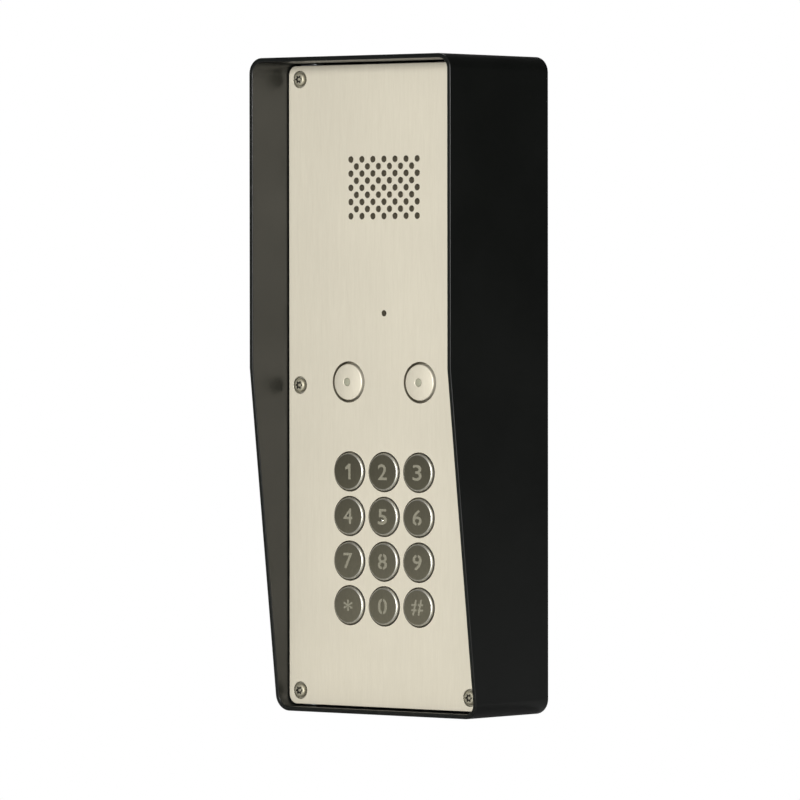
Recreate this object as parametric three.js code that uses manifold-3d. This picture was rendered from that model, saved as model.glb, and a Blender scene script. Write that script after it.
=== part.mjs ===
// Surface-mounted door intercom panel: a hooded steel housing around a recessed faceplate
// that carries a speaker grille, a microphone, two call buttons and a twelve-key keypad.
// Millimetres. +X is right as seen by the caller, +Z is up, and the front faces -Y.
// The origin is the centre of the rear face, on the wall. A depth is a distance out from the wall.
import * as THREE from 'three';
import { mergeVertices } from 'three/addons/utils/BufferGeometryUtils.js';
import Module from 'manifold-3d';

const wasm = await Module();
wasm.setup();

// Housing
const width = 116;
const height = 295;
const hoodDepth = 70.5; // over the straight upper part
const toeDepth = 51.5; // at the bottom edge
const slopeTop = 8; // height above the centre where the front edge starts to slope back
const wall = 2;
const cornerRadius = 7;
const backThickness = 2;
const seat = 0.3; // gap between parts that touch when assembled

// Faceplate
const plateDepth = 45.5; // wall to the faceplate's front
const plateThickness = 3;
const plateGapX = 0.5;
const plateGapZ = 1;
const screwInsetX = 6.5;
const screwInsetZ = 6.1;
const gasketThickness = 1.5;
const gasketWidth = 12;
const railWidth = 12;
const railThickness = 6;

// Faceplate screws, M3 button head in a counterbore
const screwRadius = 1.5;
const screwHeadRadius = 2.95;
const screwHeadHeight = 2.2;
const counterboreRadius = 3.9;
const counterboreDepth = 1.5;
const screwLength = 8;
const screwSocketRadius = 1.3;
const screwSocketDepth = 1.1;
const screwHeadRound = 0.8;
const threadClearance = 0.3;

// Speaker grille: odd rows have one hole more than even rows
const grillePitch = 6.38;
const grilleColumns = 7;
const grilleRows = 9;
const grilleHoleRadius = 1.4;
const grilleDrop = 55.5; // plate's top edge to the grille's centre

// Speaker
const speakerRadius = 28.5;
const speakerRim = 4.5;
const speakerRimThickness = 1.5;
const basketDepth = 10;
const basketWall = 0.9;
const basketBore = 4.9;
const basketThroat = 1; // magnet's rim to the basket's throat
const coneNeck = 7;
const coneRise = 1.5; // basket's floor to the cone's back
const coneThickness = 1;
const coneClearance = 1.2;
const dustCapHeight = 2;
const magnetRadius = 15;
const magnetHeight = 8;
const magnetBevel = 0.8;
const speakerMeshThickness = 0.5;
const speakerGasketThickness = 1.5;
const clampThickness = 1.2;
const clampEar = 5.5; // rim to the stud's centre
const studRadius = 1.5;
const studThread = 4; // thread that stands out behind what the stud holds
const clampWidth = 8;

// Microphone
const micRise = 31; // call buttons to the microphone hole
const micHoleRadius = 1.3;
const micRadius = 4.85;
const micHeight = 6.5;
const bootWall = 1.8;

// Call buttons
const callRise = 40.3; // first key row to the call buttons
const callSpacing = 41.2;
const callHoleRadius = 9.2;
const callRadius = 8.1;
const callBevel = 0.3;
const callEdgeProud = 0.4;
const callCentreProud = 1.5;
const callFlangeLip = 1;
const callFlangeThickness = 1.2;
const callStemRadius = 3.2;
const callStemLength = 7.6;
const callTravel = 1.5;
const lensRadius = 1.7;
const lensBevel = 0.15;
const lensSunk = 0.05;
const lensSetback = 1; // stem's end to the light pipe's end
const switchWall = 1.6;
const springRadius = 4.6;
const springWire = 0.35;
const springTurns = 4.5;
const switchEarRadius = 3.4;
const switchEarThickness = 2.5;

// Keypad
const keypadRise = 45.5; // plate's bottom edge to the last key row
const keyPitchX = 20;
const keyPitchZ = 20.1;
const keyHoleRadius = 9;
const keyRadius = 8.4;
const keyProud = 1.3;
const keyBevel = 0.6;
const keyFlangeLip = 0.7;
const keyFlangeThickness = 1.2;
const keyTravel = 1;
const domeRest = 2; // height a dome keeps when its key is fully pressed
const keypadFrameWall = 5.7;
const keypadCorner = 2.5;
const ribbonInset = 8; // keypad board's top edge to its header
const matBase = 1.2;
const domeRadius = 6;
const domeTaper = 1.8;
const boardThickness = 1.6;
const keyNames = ['key_1', 'key_2', 'key_3', 'key_4', 'key_5', 'key_6',
  'key_7', 'key_8', 'key_9', 'key_star', 'key_0', 'key_hash'];

// Main board on the back plate
const mainBoardWidth = 84;
const mainBoardHeight = 170;
const mainBoardRise = 28.4; // call buttons to the board's centre
const standoffHeight = 7.4;
const standoffRadius = 3;
const boardHoleInset = 5;
const boardScrewHead = 2;
const headerHeight = 5;
const ribbonWidth = 14;
const ribbonThickness = 0.8;
const leadRadius = 0.9;
const leadSteps = 16;
const shieldSize = [32, 3, 26];
const relaySize = [15.2, 15.2, 20];
const terminalPoles = 6;
const terminalPitch = 5;
const terminalHeight = 10;
const terminalDepth = 10;
const terminalSlope = 3;
const cableHoleRadius = 10;
const cableRise = 52.5; // back plate's bottom edge to the cable entry
const grommetBore = 5.5;
const grommetLip = 3;
const grommetThickness = 2.7;
const grommetBevel = 0.5;
const fixingHoleRadius = 2.5;
const fixingInsetX = 20;
const fixingInsetZ = 18;

// Depths of the stack, from the wall outwards
const plateRear = plateDepth - plateThickness;
const behindPlate = plateRear - seat;
const gasketRear = behindPlate - gasketThickness;
const railFront = gasketRear - seat;
const keyFlangeRear = behindPlate - keyFlangeThickness;
const keypadFrameRear = keyFlangeRear - seat - keyTravel - domeRest - matBase;
const keypadBoardFront = keypadFrameRear - seat;
const keypadBoardRear = keypadBoardFront - boardThickness;
const callFlangeRear = behindPlate - callFlangeThickness;
const meshRear = behindPlate - speakerMeshThickness;
const speakerGasketFront = meshRear - seat;
const speakerFront = speakerGasketFront - speakerGasketThickness - seat;
const speakerRimRear = speakerFront - speakerRimThickness;
const clampRear = speakerRimRear - seat - clampThickness;
const basketRear = speakerRimRear - basketDepth;
const magnetFront = basketRear - seat;
const backFront = backThickness;
const mainBoardRear = backFront + seat + standoffHeight + seat;
const mainBoardFront = mainBoardRear + boardThickness;
const onBoard = mainBoardFront + seat;

// Places on the faceplate
const innerHalfX = width / 2 - wall;
const innerHalfZ = height / 2 - wall;
const plateHalfX = innerHalfX - plateGapX;
const plateHalfZ = innerHalfZ - plateGapZ;
const screwX = plateHalfX - screwInsetX;
const screwZ = plateHalfZ - screwInsetZ;
const grilleZ = plateHalfZ - grilleDrop;
const lastRowZ = keypadRise - plateHalfZ;
const firstRowZ = lastRowZ + 3 * keyPitchZ;
const callZ = firstRowZ + callRise;
const micZ = callZ + micRise;
const mainBoardZ = callZ + mainBoardRise;
const keypadZ = (firstRowZ + lastRowZ) / 2;
const keypadInnerX = keyPitchX + keyHoleRadius + keyFlangeLip + 2 * seat;
const keypadInnerZ = 1.5 * keyPitchZ + keyHoleRadius + keyFlangeLip + 2 * seat;
const keypadHalfX = keypadInnerX + keypadFrameWall;
const keypadHalfZ = keypadInnerZ + keypadFrameWall;
const keypadStudX = keypadHalfX - keypadFrameWall / 2;
const keypadStudZ = keypadHalfZ - keypadFrameWall / 2;
const speakerStudX = speakerRadius + clampEar;
const switchRadius = callHoleRadius + callFlangeLip + seat + switchWall;
const switchStudZ = switchRadius + switchEarRadius;
const boreRadius = studRadius + threadClearance;


// Flat sides that stand for a full circle
const roundSides = 20;
const smallSides = 10;
const tinySides = 6;
const cutRoom = 1; // how far a cutter runs past a face

const group = new THREE.Group();

// ---------- shapes and solids ----------

function finish(color, roughness, metalness) {
  return { color, roughness, metalness };
}

const finishes = {
  blackSteel: finish(0x1b1c1a, 0.4, 0.2),
  brushedSteel: finish(0xd6d1bf, 0.35, 0.9),
  screwSteel: finish(0xb9b6a8, 0.25, 1),
  zincSteel: finish(0xaeb2b4, 0.4, 0.9),
  keyMetal: finish(0x55544a, 0.3, 0.7),
  clearLens: finish(0x9b9a86, 0.2, 0),
  blackRubber: finish(0x161616, 0.8, 0),
  greySilicone: finish(0x8e9192, 0.7, 0),
  blackPlastic: finish(0x202123, 0.5, 0),
  circuitGreen: finish(0x1d5a34, 0.5, 0),
  terminalGreen: finish(0x2f8a49, 0.5, 0),
  paperCone: finish(0x2b2a28, 0.9, 0),
  ferrite: finish(0x3c3d3f, 0.6, 0.3),
  wireGrey: finish(0x77797b, 0.6, 0),
  meshCloth: finish(0x4a4a45, 0.9, 0),
};

// A closed geometry as a manifold solid, with the flat triangles at a lathe's poles left out
function solid(geometry) {
  const bare = geometry.clone();
  bare.deleteAttribute('normal');
  bare.deleteAttribute('uv');
  const merged = mergeVertices(bare, 1e-4);
  const corners = merged.index.array;
  const triangles = [];
  for (let i = 0; i < corners.length; i += 3) {
    const [a, b, c] = corners.slice(i, i + 3);
    if (a !== b && b !== c && c !== a) triangles.push(a, b, c);
  }
  return new wasm.Manifold(new wasm.Mesh({
    numProp: 3,
    vertProperties: merged.attributes.position.array,
    triVerts: new Uint32Array(triangles),
  }));
}

function addPiece(name, piece, look, x = 0, z = 0) {
  const made = piece.getMesh();
  const geometry = new THREE.BufferGeometry();
  geometry.setAttribute('position', new THREE.BufferAttribute(made.vertProperties, 3));
  geometry.setIndex(new THREE.BufferAttribute(made.triVerts, 1));
  const mesh = new THREE.Mesh(geometry, new THREE.MeshStandardMaterial(look));
  mesh.name = name;
  mesh.position.set(x, 0, z);
  group.add(mesh);
}

// Closed path of straight sides round a circle
function circlePoints(x, z, radius, sides) {
  const points = [];
  for (let i = 0; i < sides; i += 1) {
    const turn = (2 * Math.PI * (i + 0.5)) / sides;
    points.push(new THREE.Vector2(x + radius * Math.cos(turn), z + radius * Math.sin(turn)));
  }
  return points;
}

function roundedRect(halfX, halfZ, radius, path = new THREE.Shape()) {
  const x = halfX - radius;
  const z = halfZ - radius;
  path.moveTo(halfX, -z);
  path.lineTo(halfX, z);
  path.absarc(x, z, radius, 0, Math.PI / 2);
  path.lineTo(-x, halfZ);
  path.absarc(-x, z, radius, Math.PI / 2, Math.PI);
  path.lineTo(-halfX, -z);
  path.absarc(-x, -z, radius, Math.PI, 1.5 * Math.PI);
  path.lineTo(x, -halfZ);
  path.absarc(x, -z, radius, 1.5 * Math.PI, 2 * Math.PI);
  return path;
}

function rectAt(x, z, halfX, halfZ) {
  return new THREE.Shape([
    new THREE.Vector2(x - halfX, z - halfZ),
    new THREE.Vector2(x + halfX, z - halfZ),
    new THREE.Vector2(x + halfX, z + halfZ),
    new THREE.Vector2(x - halfX, z + halfZ),
  ]);
}

// An outline seen from the front, between two depths
function slab(shape, rear, front, curveSegments = 3) {
  const geometry = new THREE.ExtrudeGeometry(shape, {
    depth: front - rear,
    bevelEnabled: false,
    curveSegments,
  });
  geometry.translate(0, 0, rear);
  geometry.rotateX(Math.PI / 2);
  return solid(geometry);
}

function disc(x, z, radius, rear, front, sides) {
  return slab(new THREE.Shape(circlePoints(x, z, radius, sides)), rear, front);
}

function block(x, z, halfX, halfZ, rear, front) {
  return slab(rectAt(x, z, halfX, halfZ), rear, front);
}

// An outline in the side view, as [depth, height] pairs, between two X places
function sideSlab(outline, left, right) {
  const shape = new THREE.Shape(outline.map(([depth, z]) => new THREE.Vector2(-depth, z)));
  const geometry = new THREE.ExtrudeGeometry(shape, { depth: right - left, bevelEnabled: false });
  geometry.translate(0, 0, left);
  geometry.applyMatrix4(new THREE.Matrix4().set(0, 0, 1, 0, 1, 0, 0, 0, 0, 1, 0, 0, 0, 0, 0, 1));
  return solid(geometry);
}

// A turned piece about its own depth axis, from [radius, depth] pairs, rear axis point first
function turned(profile, sides) {
  const points = profile.map(([radius, depth]) => new THREE.Vector2(radius, -depth));
  return solid(new THREE.LatheGeometry(points.reverse(), sides));
}

// A turned ring, whose profile closes on itself
function turnedRing(profile, sides) {
  return turned([...profile, profile[0]], sides);
}

// A round lead along a smooth curve through [x, depth, z] points
function lead(points, radius, steps) {
  const route = points.map(([x, depth, z]) => new THREE.Vector3(x, -depth, z));
  const geometry = new THREE.ExtrudeGeometry(new THREE.Shape(circlePoints(0, 0, radius, tinySides)), {
    steps,
    bevelEnabled: false,
    extrudePath: new THREE.CatmullRomCurve3(route),
  });
  return solid(geometry);
}

// ---------- housing ----------

function hood() {
  const outline = roundedRect(width / 2, height / 2, cornerRadius);
  outline.holes.push(roundedRect(innerHalfX, innerHalfZ, cornerRadius - wall, new THREE.Path()));
  const sleeve = slab(outline, 0, hoodDepth, 5);
  const slope = (hoodDepth - toeDepth) / (slopeTop + height / 2);
  const low = -height / 2 - wall;
  const front = hoodDepth + wall;
  const inFront = sideSlab([
    [hoodDepth, slopeTop],
    [toeDepth - slope * wall, low],
    [front, low],
    [front, slopeTop],
  ], -width, width);
  addPiece('hood', sleeve.subtract(inFront), finishes.blackSteel);
}

function backPlate() {
  const outline = roundedRect(innerHalfX - seat, innerHalfZ - seat, cornerRadius - wall - seat);
  const x = innerHalfX - fixingInsetX;
  const z = innerHalfZ - fixingInsetZ;
  for (const sx of [-1, 1]) {
    for (const sz of [-1, 1]) {
      outline.holes.push(new THREE.Path(circlePoints(sx * x, sz * z, fixingHoleRadius, smallSides)));
    }
  }
  const cableZ = cableRise - innerHalfZ;
  outline.holes.push(new THREE.Path(circlePoints(0, cableZ, cableHoleRadius, roundSides)));
  addPiece('back_plate', slab(outline, 0, backFront), finishes.blackSteel);

  const flange = cableHoleRadius + grommetLip;
  const sleeve = cableHoleRadius - seat;
  const lipFront = backFront + seat + grommetThickness;
  const grommet = turnedRing([
    [grommetBore, seat],
    [sleeve, seat],
    [sleeve, backFront + seat],
    [flange, backFront + seat],
    [flange - 2 * grommetBevel, lipFront - grommetBevel],
    [grommetBore, lipFront],
  ], roundSides);
  addPiece('cable_grommet', grommet, finishes.blackRubber, 0, cableZ);
}

// Rail along one side wall, with its outer corners following the hood's inner corners
function fixingRail(name, side) {
  const outer = innerHalfX - seat;
  const inner = outer - railWidth;
  const top = innerHalfZ - seat;
  const radius = cornerRadius - wall - seat;
  const outline = new THREE.Shape();
  outline.moveTo(inner, -top);
  outline.lineTo(outer - radius, -top);
  outline.absarc(outer - radius, -top + radius, radius, 1.5 * Math.PI, 2 * Math.PI);
  outline.lineTo(outer, top - radius);
  outline.absarc(outer - radius, top - radius, radius, 0, Math.PI / 2);
  outline.lineTo(inner, top);
  for (const z of [-screwZ, 0, screwZ]) {
    outline.holes.push(new THREE.Path(circlePoints(screwX, z, boreRadius, smallSides)));
  }
  const rail = slab(outline, railFront - railThickness, railFront);
  addPiece(name, side > 0 ? rail : rail.rotate([0, 180, 0]), finishes.zincSteel);
}

// ---------- faceplate ----------

function grilleHoles() {
  const holes = [];
  for (let row = 0; row < grilleRows; row += 1) {
    const count = grilleColumns - (row % 2);
    for (let i = 0; i < count; i += 1) {
      const x = (i - (count - 1) / 2) * grillePitch;
      const z = grilleZ + ((grilleRows - 1) / 2 - row) * (grillePitch / 2);
      holes.push(circlePoints(x, z, grilleHoleRadius, tinySides));
    }
  }
  return holes;
}

function keyPlaces() {
  return keyNames.map((name, i) => ({
    name,
    x: ((i % 3) - 1) * keyPitchX,
    z: firstRowZ - Math.floor(i / 3) * keyPitchZ,
  }));
}

function callPlaces() {
  return [['left', -callSpacing / 2], ['right', callSpacing / 2]];
}

function screwPlaces() {
  const places = [];
  for (const [level, z] of [['top', screwZ], ['middle', 0], ['bottom', -screwZ]]) {
    for (const [hand, x] of [['left', -screwX], ['right', screwX]]) {
      places.push({ name: `faceplate_screw_${level}_${hand}`, x, z });
    }
  }
  return places;
}

// Studs welded to the faceplate's rear: keypad corners, switch ears and speaker clamp ears
function studPlaces() {
  const places = [];
  for (const side of [-1, 1]) {
    for (const end of [-1, 1]) {
      places.push([side * keypadStudX, keypadZ + end * keypadStudZ, keypadBoardRear - studThread]);
      const earRear = behindPlate - switchEarThickness;
      places.push([side * callSpacing / 2, callZ + end * switchStudZ, earRear - studThread]);
    }
    places.push([side * speakerStudX, grilleZ, clampRear - studThread]);
  }
  return places;
}

function faceplate() {
  const outline = roundedRect(plateHalfX, plateHalfZ, cornerRadius - wall - plateGapX);
  const openings = grilleHoles();
  openings.push(circlePoints(0, micZ, micHoleRadius, smallSides));
  for (const { x, z } of keyPlaces()) openings.push(circlePoints(x, z, keyHoleRadius, roundSides));
  for (const [, x] of callPlaces()) openings.push(circlePoints(x, callZ, callHoleRadius, roundSides));
  for (const { x, z } of screwPlaces()) openings.push(circlePoints(x, z, boreRadius, smallSides));
  for (const points of openings) outline.holes.push(new THREE.Path(points));
  let plate = slab(outline, plateRear, plateDepth);
  const floor = plateDepth - counterboreDepth;
  for (const { x, z } of screwPlaces()) {
    plate = plate.subtract(disc(x, z, counterboreRadius, floor, plateDepth + cutRoom, roundSides));
  }
  for (const [x, z, end] of studPlaces()) {
    plate = plate.add(disc(x, z, studRadius, end, plateRear + plateThickness / 2, tinySides));
  }
  addPiece('faceplate', plate, finishes.brushedSteel);
}

function faceplateGasket() {
  const halfX = plateHalfX - seat;
  const halfZ = plateHalfZ - seat;
  const outline = roundedRect(halfX, halfZ, cornerRadius - wall - plateGapX - seat);
  outline.holes.push(roundedRect(halfX - gasketWidth, halfZ - gasketWidth, 2, new THREE.Path()));
  for (const { x, z } of screwPlaces()) {
    outline.holes.push(new THREE.Path(circlePoints(x, z, boreRadius, smallSides)));
  }
  addPiece('faceplate_gasket', slab(outline, gasketRear, behindPlate, 2), finishes.blackRubber);
}

function faceplateScrews() {
  const under = plateDepth - counterboreDepth + seat;
  const top = under + screwHeadHeight;
  for (const { name, x, z } of screwPlaces()) {
    const screw = turned([
      [0, under - screwLength],
      [screwRadius, under - screwLength],
      [screwRadius, under],
      [screwHeadRadius, under],
      [screwHeadRadius, top - screwHeadRound],
      [screwHeadRadius - screwHeadRound, top],
      [screwSocketRadius, top],
      [screwSocketRadius, top - screwSocketDepth],
      [0, top - screwSocketDepth],
    ], smallSides + 2);
    addPiece(name, screw, finishes.screwSteel, x, z);
  }
}

// ---------- keypad ----------

function keys() {
  const top = plateDepth + keyProud;
  const flange = keyHoleRadius + keyFlangeLip;
  for (const { name, x, z } of keyPlaces()) {
    const key = turned([
      [0, keyFlangeRear],
      [flange, keyFlangeRear],
      [flange, behindPlate],
      [keyRadius, behindPlate],
      [keyRadius, top - keyBevel],
      [keyRadius - keyBevel, top],
      [0, top],
    ], roundSides);
    addPiece(name, key, finishes.keyMetal, x, z);
  }
}

function keypadOutline() {
  const outline = roundedRect(keypadHalfX, keypadHalfZ, keypadCorner);
  for (const side of [-1, 1]) {
    for (const end of [-1, 1]) {
      const bore = circlePoints(side * keypadStudX, end * keypadStudZ, boreRadius, smallSides);
      outline.holes.push(new THREE.Path(bore));
    }
  }
  return outline;
}

function keypadFrame() {
  const outline = keypadOutline();
  outline.holes.push(roundedRect(keypadInnerX, keypadInnerZ, 1.5, new THREE.Path()));
  const frame = slab(outline, keypadFrameRear, behindPlate, 2);
  addPiece('keypad_frame', frame, finishes.blackPlastic, 0, keypadZ);
}

function keypadMat() {
  const rear = keypadBoardFront + seat;
  const sheet = roundedRect(keypadInnerX - seat, keypadInnerZ - seat, 1.5);
  const domeTop = keyFlangeRear - seat;
  let mat = slab(sheet, rear, rear + matBase, 2);
  for (const { x, z } of keyPlaces()) {
    const dome = turned([
      [0, rear + matBase / 2],
      [domeRadius, rear + matBase / 2],
      [domeRadius, rear + matBase],
      [domeRadius - domeTaper, domeTop],
      [0, domeTop],
    ], smallSides);
    mat = mat.add(dome.translate([x, 0, z - keypadZ]));
  }
  addPiece('keypad_mat', mat, finishes.greySilicone, 0, keypadZ);
}

function keypadBoard() {
  const board = slab(keypadOutline(), keypadBoardRear, keypadBoardFront, 2);
  const headerZ = keypadHalfZ - ribbonInset;
  const headerRear = keypadBoardRear - headerHeight;
  const header = block(0, headerZ, ribbonWidth / 2 + 2, 3, headerRear, keypadBoardFront);
  addPiece('keypad_board', board.add(header), finishes.circuitGreen, 0, keypadZ);
}

// ---------- call buttons ----------

function callButton(name, x) {
  const flange = callHoleRadius + callFlangeLip;
  const bore = lensRadius + seat;
  const stemEnd = callFlangeRear - callStemLength;
  const crown = [];
  for (let i = 0; i <= 3; i += 1) {
    const rim = callRadius - callBevel;
    const radius = rim - ((rim - bore) * i) / 3;
    const rise = (callCentreProud - callEdgeProud) * (1 - (radius / callRadius) ** 2);
    crown.push([radius, plateDepth + callEdgeProud + rise]);
  }
  const button = turnedRing([
    [bore, stemEnd],
    [callStemRadius, stemEnd],
    [callStemRadius, callFlangeRear],
    [flange, callFlangeRear],
    [flange, behindPlate],
    [callRadius, behindPlate],
    [callRadius, plateDepth],
    ...crown,
  ], roundSides);
  addPiece(name, button, finishes.brushedSteel, x, callZ);
}

function callLens(name, x) {
  const top = plateDepth + callCentreProud - lensSunk;
  const rear = callFlangeRear - callStemLength + lensSetback;
  const lens = turned([
    [0, rear],
    [lensRadius, rear],
    [lensRadius, top - lensBevel],
    [lensRadius - lensBevel, top],
    [0, top],
  ], smallSides);
  addPiece(name, lens, finishes.clearLens, x, callZ);
}

function switchFloor() {
  return callFlangeRear - callStemLength - callTravel - 2 * seat;
}

function callSwitch(name, x) {
  const floor = switchFloor();
  const pocket = callFlangeRear - callTravel - 2 * seat;
  const ears = new THREE.Shape(circlePoints(0, switchStudZ, switchEarRadius, smallSides));
  const earRear = behindPlate - switchEarThickness;
  let body = disc(0, 0, switchRadius, floor - switchWall, behindPlate, roundSides);
  body = body.add(block(0, 0, switchEarRadius, switchStudZ, earRear, behindPlate));
  for (const end of [-1, 1]) {
    const ear = slab(ears, earRear, behindPlate);
    body = body.add(end > 0 ? ear : ear.rotate([0, 180, 0]));
    const bore = disc(0, end * switchStudZ, boreRadius, floor, plateDepth, smallSides);
    body = body.subtract(bore);
  }
  const flangeRoom = callHoleRadius + callFlangeLip + seat;
  body = body.subtract(disc(0, 0, flangeRoom, pocket, plateDepth, roundSides));
  const springRoom = springRadius + springWire + 2 * seat;
  body = body.subtract(disc(0, 0, springRoom, floor, plateDepth, roundSides));
  addPiece(name, body, finishes.blackPlastic, x, callZ);
}

// Coil spring around the button's stem, between the switch housing's floor and the flange
function callSpring(name, x) {
  const low = switchFloor() + seat + springWire;
  const high = callFlangeRear - seat - springWire;
  const route = [];
  const perTurn = 8;
  const count = Math.round(springTurns * perTurn);
  for (let i = 0; i <= count; i += 1) {
    const turn = (2 * Math.PI * i) / perTurn;
    const depth = low + ((high - low) * i) / count;
    route.push([springRadius * Math.cos(turn), depth, springRadius * Math.sin(turn)]);
  }
  addPiece(name, lead(route, springWire, count), finishes.zincSteel, x, callZ);
}

// ---------- speaker and microphone ----------

function speaker() {
  const rimInner = speakerRadius - speakerRim;
  const throat = magnetRadius + basketThroat;
  const basket = turnedRing([
    [basketBore, basketRear],
    [throat, basketRear],
    [rimInner, speakerRimRear],
    [speakerRadius, speakerRimRear],
    [speakerRadius, speakerFront],
    [rimInner - basketWall, speakerFront],
    [throat - basketWall, basketRear + basketWall],
    [basketBore, basketRear + basketWall],
  ], roundSides);
  addPiece('speaker_frame', basket, finishes.zincSteel, 0, grilleZ);

  const coneEdge = rimInner - basketWall - coneClearance;
  const coneFront = speakerFront - 2 * seat;
  const apex = basketRear + basketWall + coneRise;
  const cone = turned([
    [0, apex],
    [coneNeck, apex],
    [coneEdge, coneFront - coneThickness],
    [coneEdge, coneFront],
    [coneEdge - coneThickness, coneFront],
    [coneNeck - 0.5, apex + coneThickness],
    [coneNeck / 2, apex + coneThickness + dustCapHeight * 0.7],
    [0, apex + coneThickness + dustCapHeight],
  ], roundSides);
  addPiece('speaker_cone', cone, finishes.paperCone, 0, grilleZ);

  const magnet = turned([
    [0, magnetFront - magnetHeight],
    [magnetRadius - magnetBevel, magnetFront - magnetHeight],
    [magnetRadius, magnetFront - magnetHeight + magnetBevel],
    [magnetRadius, magnetFront],
    [0, magnetFront],
  ], roundSides);
  addPiece('speaker_magnet', magnet, finishes.ferrite, 0, grilleZ);

  const meshDisc = disc(0, 0, speakerRadius - seat, meshRear, behindPlate, roundSides);
  addPiece('speaker_mesh', meshDisc, finishes.meshCloth, 0, grilleZ);

  const sealRing = new THREE.Shape(circlePoints(0, 0, speakerRadius, roundSides));
  sealRing.holes.push(new THREE.Path(circlePoints(0, 0, speakerRadius - speakerRim + 1, roundSides)));
  const seal = slab(sealRing, speakerFront + seat, speakerGasketFront);
  addPiece('speaker_gasket', seal, finishes.blackRubber, 0, grilleZ);
}

// Ring that presses the speaker's rim towards the faceplate, with an ear over each stud
function speakerClamp() {
  const front = clampRear + clampThickness;
  const low = clampRear - cutRoom;
  const high = front + cutRoom;
  let ring = disc(0, 0, speakerRadius + clampWidth / 5, clampRear, front, roundSides);
  ring = ring.add(block(0, 0, speakerStudX, clampWidth / 2, clampRear, front));
  for (const side of [-1, 1]) {
    const x = side * speakerStudX;
    ring = ring.add(disc(x, 0, clampWidth / 2, clampRear, front, smallSides));
    ring = ring.subtract(disc(x, 0, boreRadius, low, high, smallSides));
  }
  const inner = speakerRadius - speakerRim + seat;
  ring = ring.subtract(disc(0, 0, inner, low, high, roundSides));
  addPiece('speaker_clamp', ring, finishes.zincSteel, 0, grilleZ);
}

function microphone() {
  const inner = micRadius + seat;
  const outer = inner + bootWall;
  const capsuleFront = behindPlate - bootWall - seat;
  const capsuleRear = capsuleFront - micHeight;
  const boot = turnedRing([
    [inner, capsuleRear + seat],
    [outer, capsuleRear + seat],
    [outer, behindPlate],
    [micHoleRadius, behindPlate],
    [micHoleRadius, capsuleFront + seat],
    [inner, capsuleFront + seat],
  ], roundSides);
  addPiece('microphone_boot', boot, finishes.blackRubber, 0, micZ);
  const capsule = turned([
    [0, capsuleRear],
    [micRadius, capsuleRear],
    [micRadius, capsuleFront],
    [0, capsuleFront],
  ], roundSides);
  addPiece('microphone', capsule, finishes.screwSteel, 0, micZ);
}

// ---------- main board ----------

function boardCorners() {
  const x = mainBoardWidth / 2 - boardHoleInset;
  const z = mainBoardHeight / 2 - boardHoleInset;
  return [
    ['top_left', -x, mainBoardZ + z],
    ['top_right', x, mainBoardZ + z],
    ['bottom_left', -x, mainBoardZ - z],
    ['bottom_right', x, mainBoardZ - z],
  ];
}

// Plug-on headers on the main board: [x, z, half width, half height]
function boardHeaders() {
  return {
    keypad: [0, mainBoardZ - mainBoardHeight / 2 + 7, ribbonWidth / 2 + 2, 3],
    speaker: [28, grilleZ - speakerRadius - 14, 3.5, 2.5],
    microphone: [-14, micZ - 12, 3.5, 2.5],
  };
}

function mainBoard() {
  const outline = roundedRect(mainBoardWidth / 2, mainBoardHeight / 2, 2);
  for (const [, x, z] of boardCorners()) {
    const bore = circlePoints(x, z - mainBoardZ, boreRadius, smallSides);
    outline.holes.push(new THREE.Path(bore));
  }
  let board = slab(outline, mainBoardRear, mainBoardFront, 2);
  for (const [x, z, halfX, halfZ] of Object.values(boardHeaders())) {
    const top = mainBoardFront + headerHeight;
    board = board.add(block(x, z - mainBoardZ, halfX, halfZ, mainBoardRear + 0.5, top));
  }
  addPiece('main_board', board, finishes.circuitGreen, 0, mainBoardZ);
}

function boardFasteners() {
  for (const [corner, x, z] of boardCorners()) {
    const low = backFront + seat;
    const high = low + standoffHeight;
    const outline = new THREE.Shape(circlePoints(0, 0, standoffRadius, tinySides));
    outline.holes.push(new THREE.Path(circlePoints(0, 0, boreRadius, smallSides)));
    addPiece(`board_standoff_${corner}`, slab(outline, low, high), finishes.screwSteel, x, z);
    const screw = turned([
      [0, low + 1.5],
      [screwRadius, low + 1.5],
      [screwRadius, onBoard],
      [2.75, onBoard],
      [2.75, onBoard + boardScrewHead - 0.5],
      [2.2, onBoard + boardScrewHead],
      [0, onBoard + boardScrewHead],
    ], smallSides);
    addPiece(`board_screw_${corner}`, screw, finishes.screwSteel, x, z);
  }
}

function boardParts() {
  const [shieldX, shieldY, shieldZ] = shieldSize;
  const shield = slab(roundedRect(shieldX / 2, shieldZ / 2, 1.5), onBoard, onBoard + shieldY, 2);
  addPiece('processor_shield', shield, finishes.zincSteel, -18, mainBoardZ + 30);

  const lowRow = mainBoardZ - mainBoardHeight / 2 + 23;
  const [relayX, relayY, relayZ] = relaySize;
  const relay = slab(roundedRect(relayX / 2, relayZ / 2, 0.8), onBoard, onBoard + relayY, 1);
  addPiece('door_relay', relay, finishes.blackPlastic, 26, lowRow);

  const halfX = (terminalPoles * terminalPitch) / 2;
  const halfZ = terminalDepth / 2;
  const top = onBoard + terminalHeight;
  let terminals = sideSlab([
    [onBoard, -halfZ],
    [top - terminalSlope, -halfZ],
    [top, terminalSlope - halfZ],
    [top, halfZ],
    [onBoard, halfZ],
  ], -halfX, halfX);
  for (let i = 0; i < terminalPoles; i += 1) {
    const x = (i + 0.5) * terminalPitch - halfX;
    const socket = disc(x, 1.2, terminalPitch / 3, top - terminalSlope, top + cutRoom, tinySides);
    terminals = terminals.subtract(socket);
  }
  addPiece('terminal_block', terminals, finishes.terminalGreen, -20, lowRow);
}

// ---------- leads ----------

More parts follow.
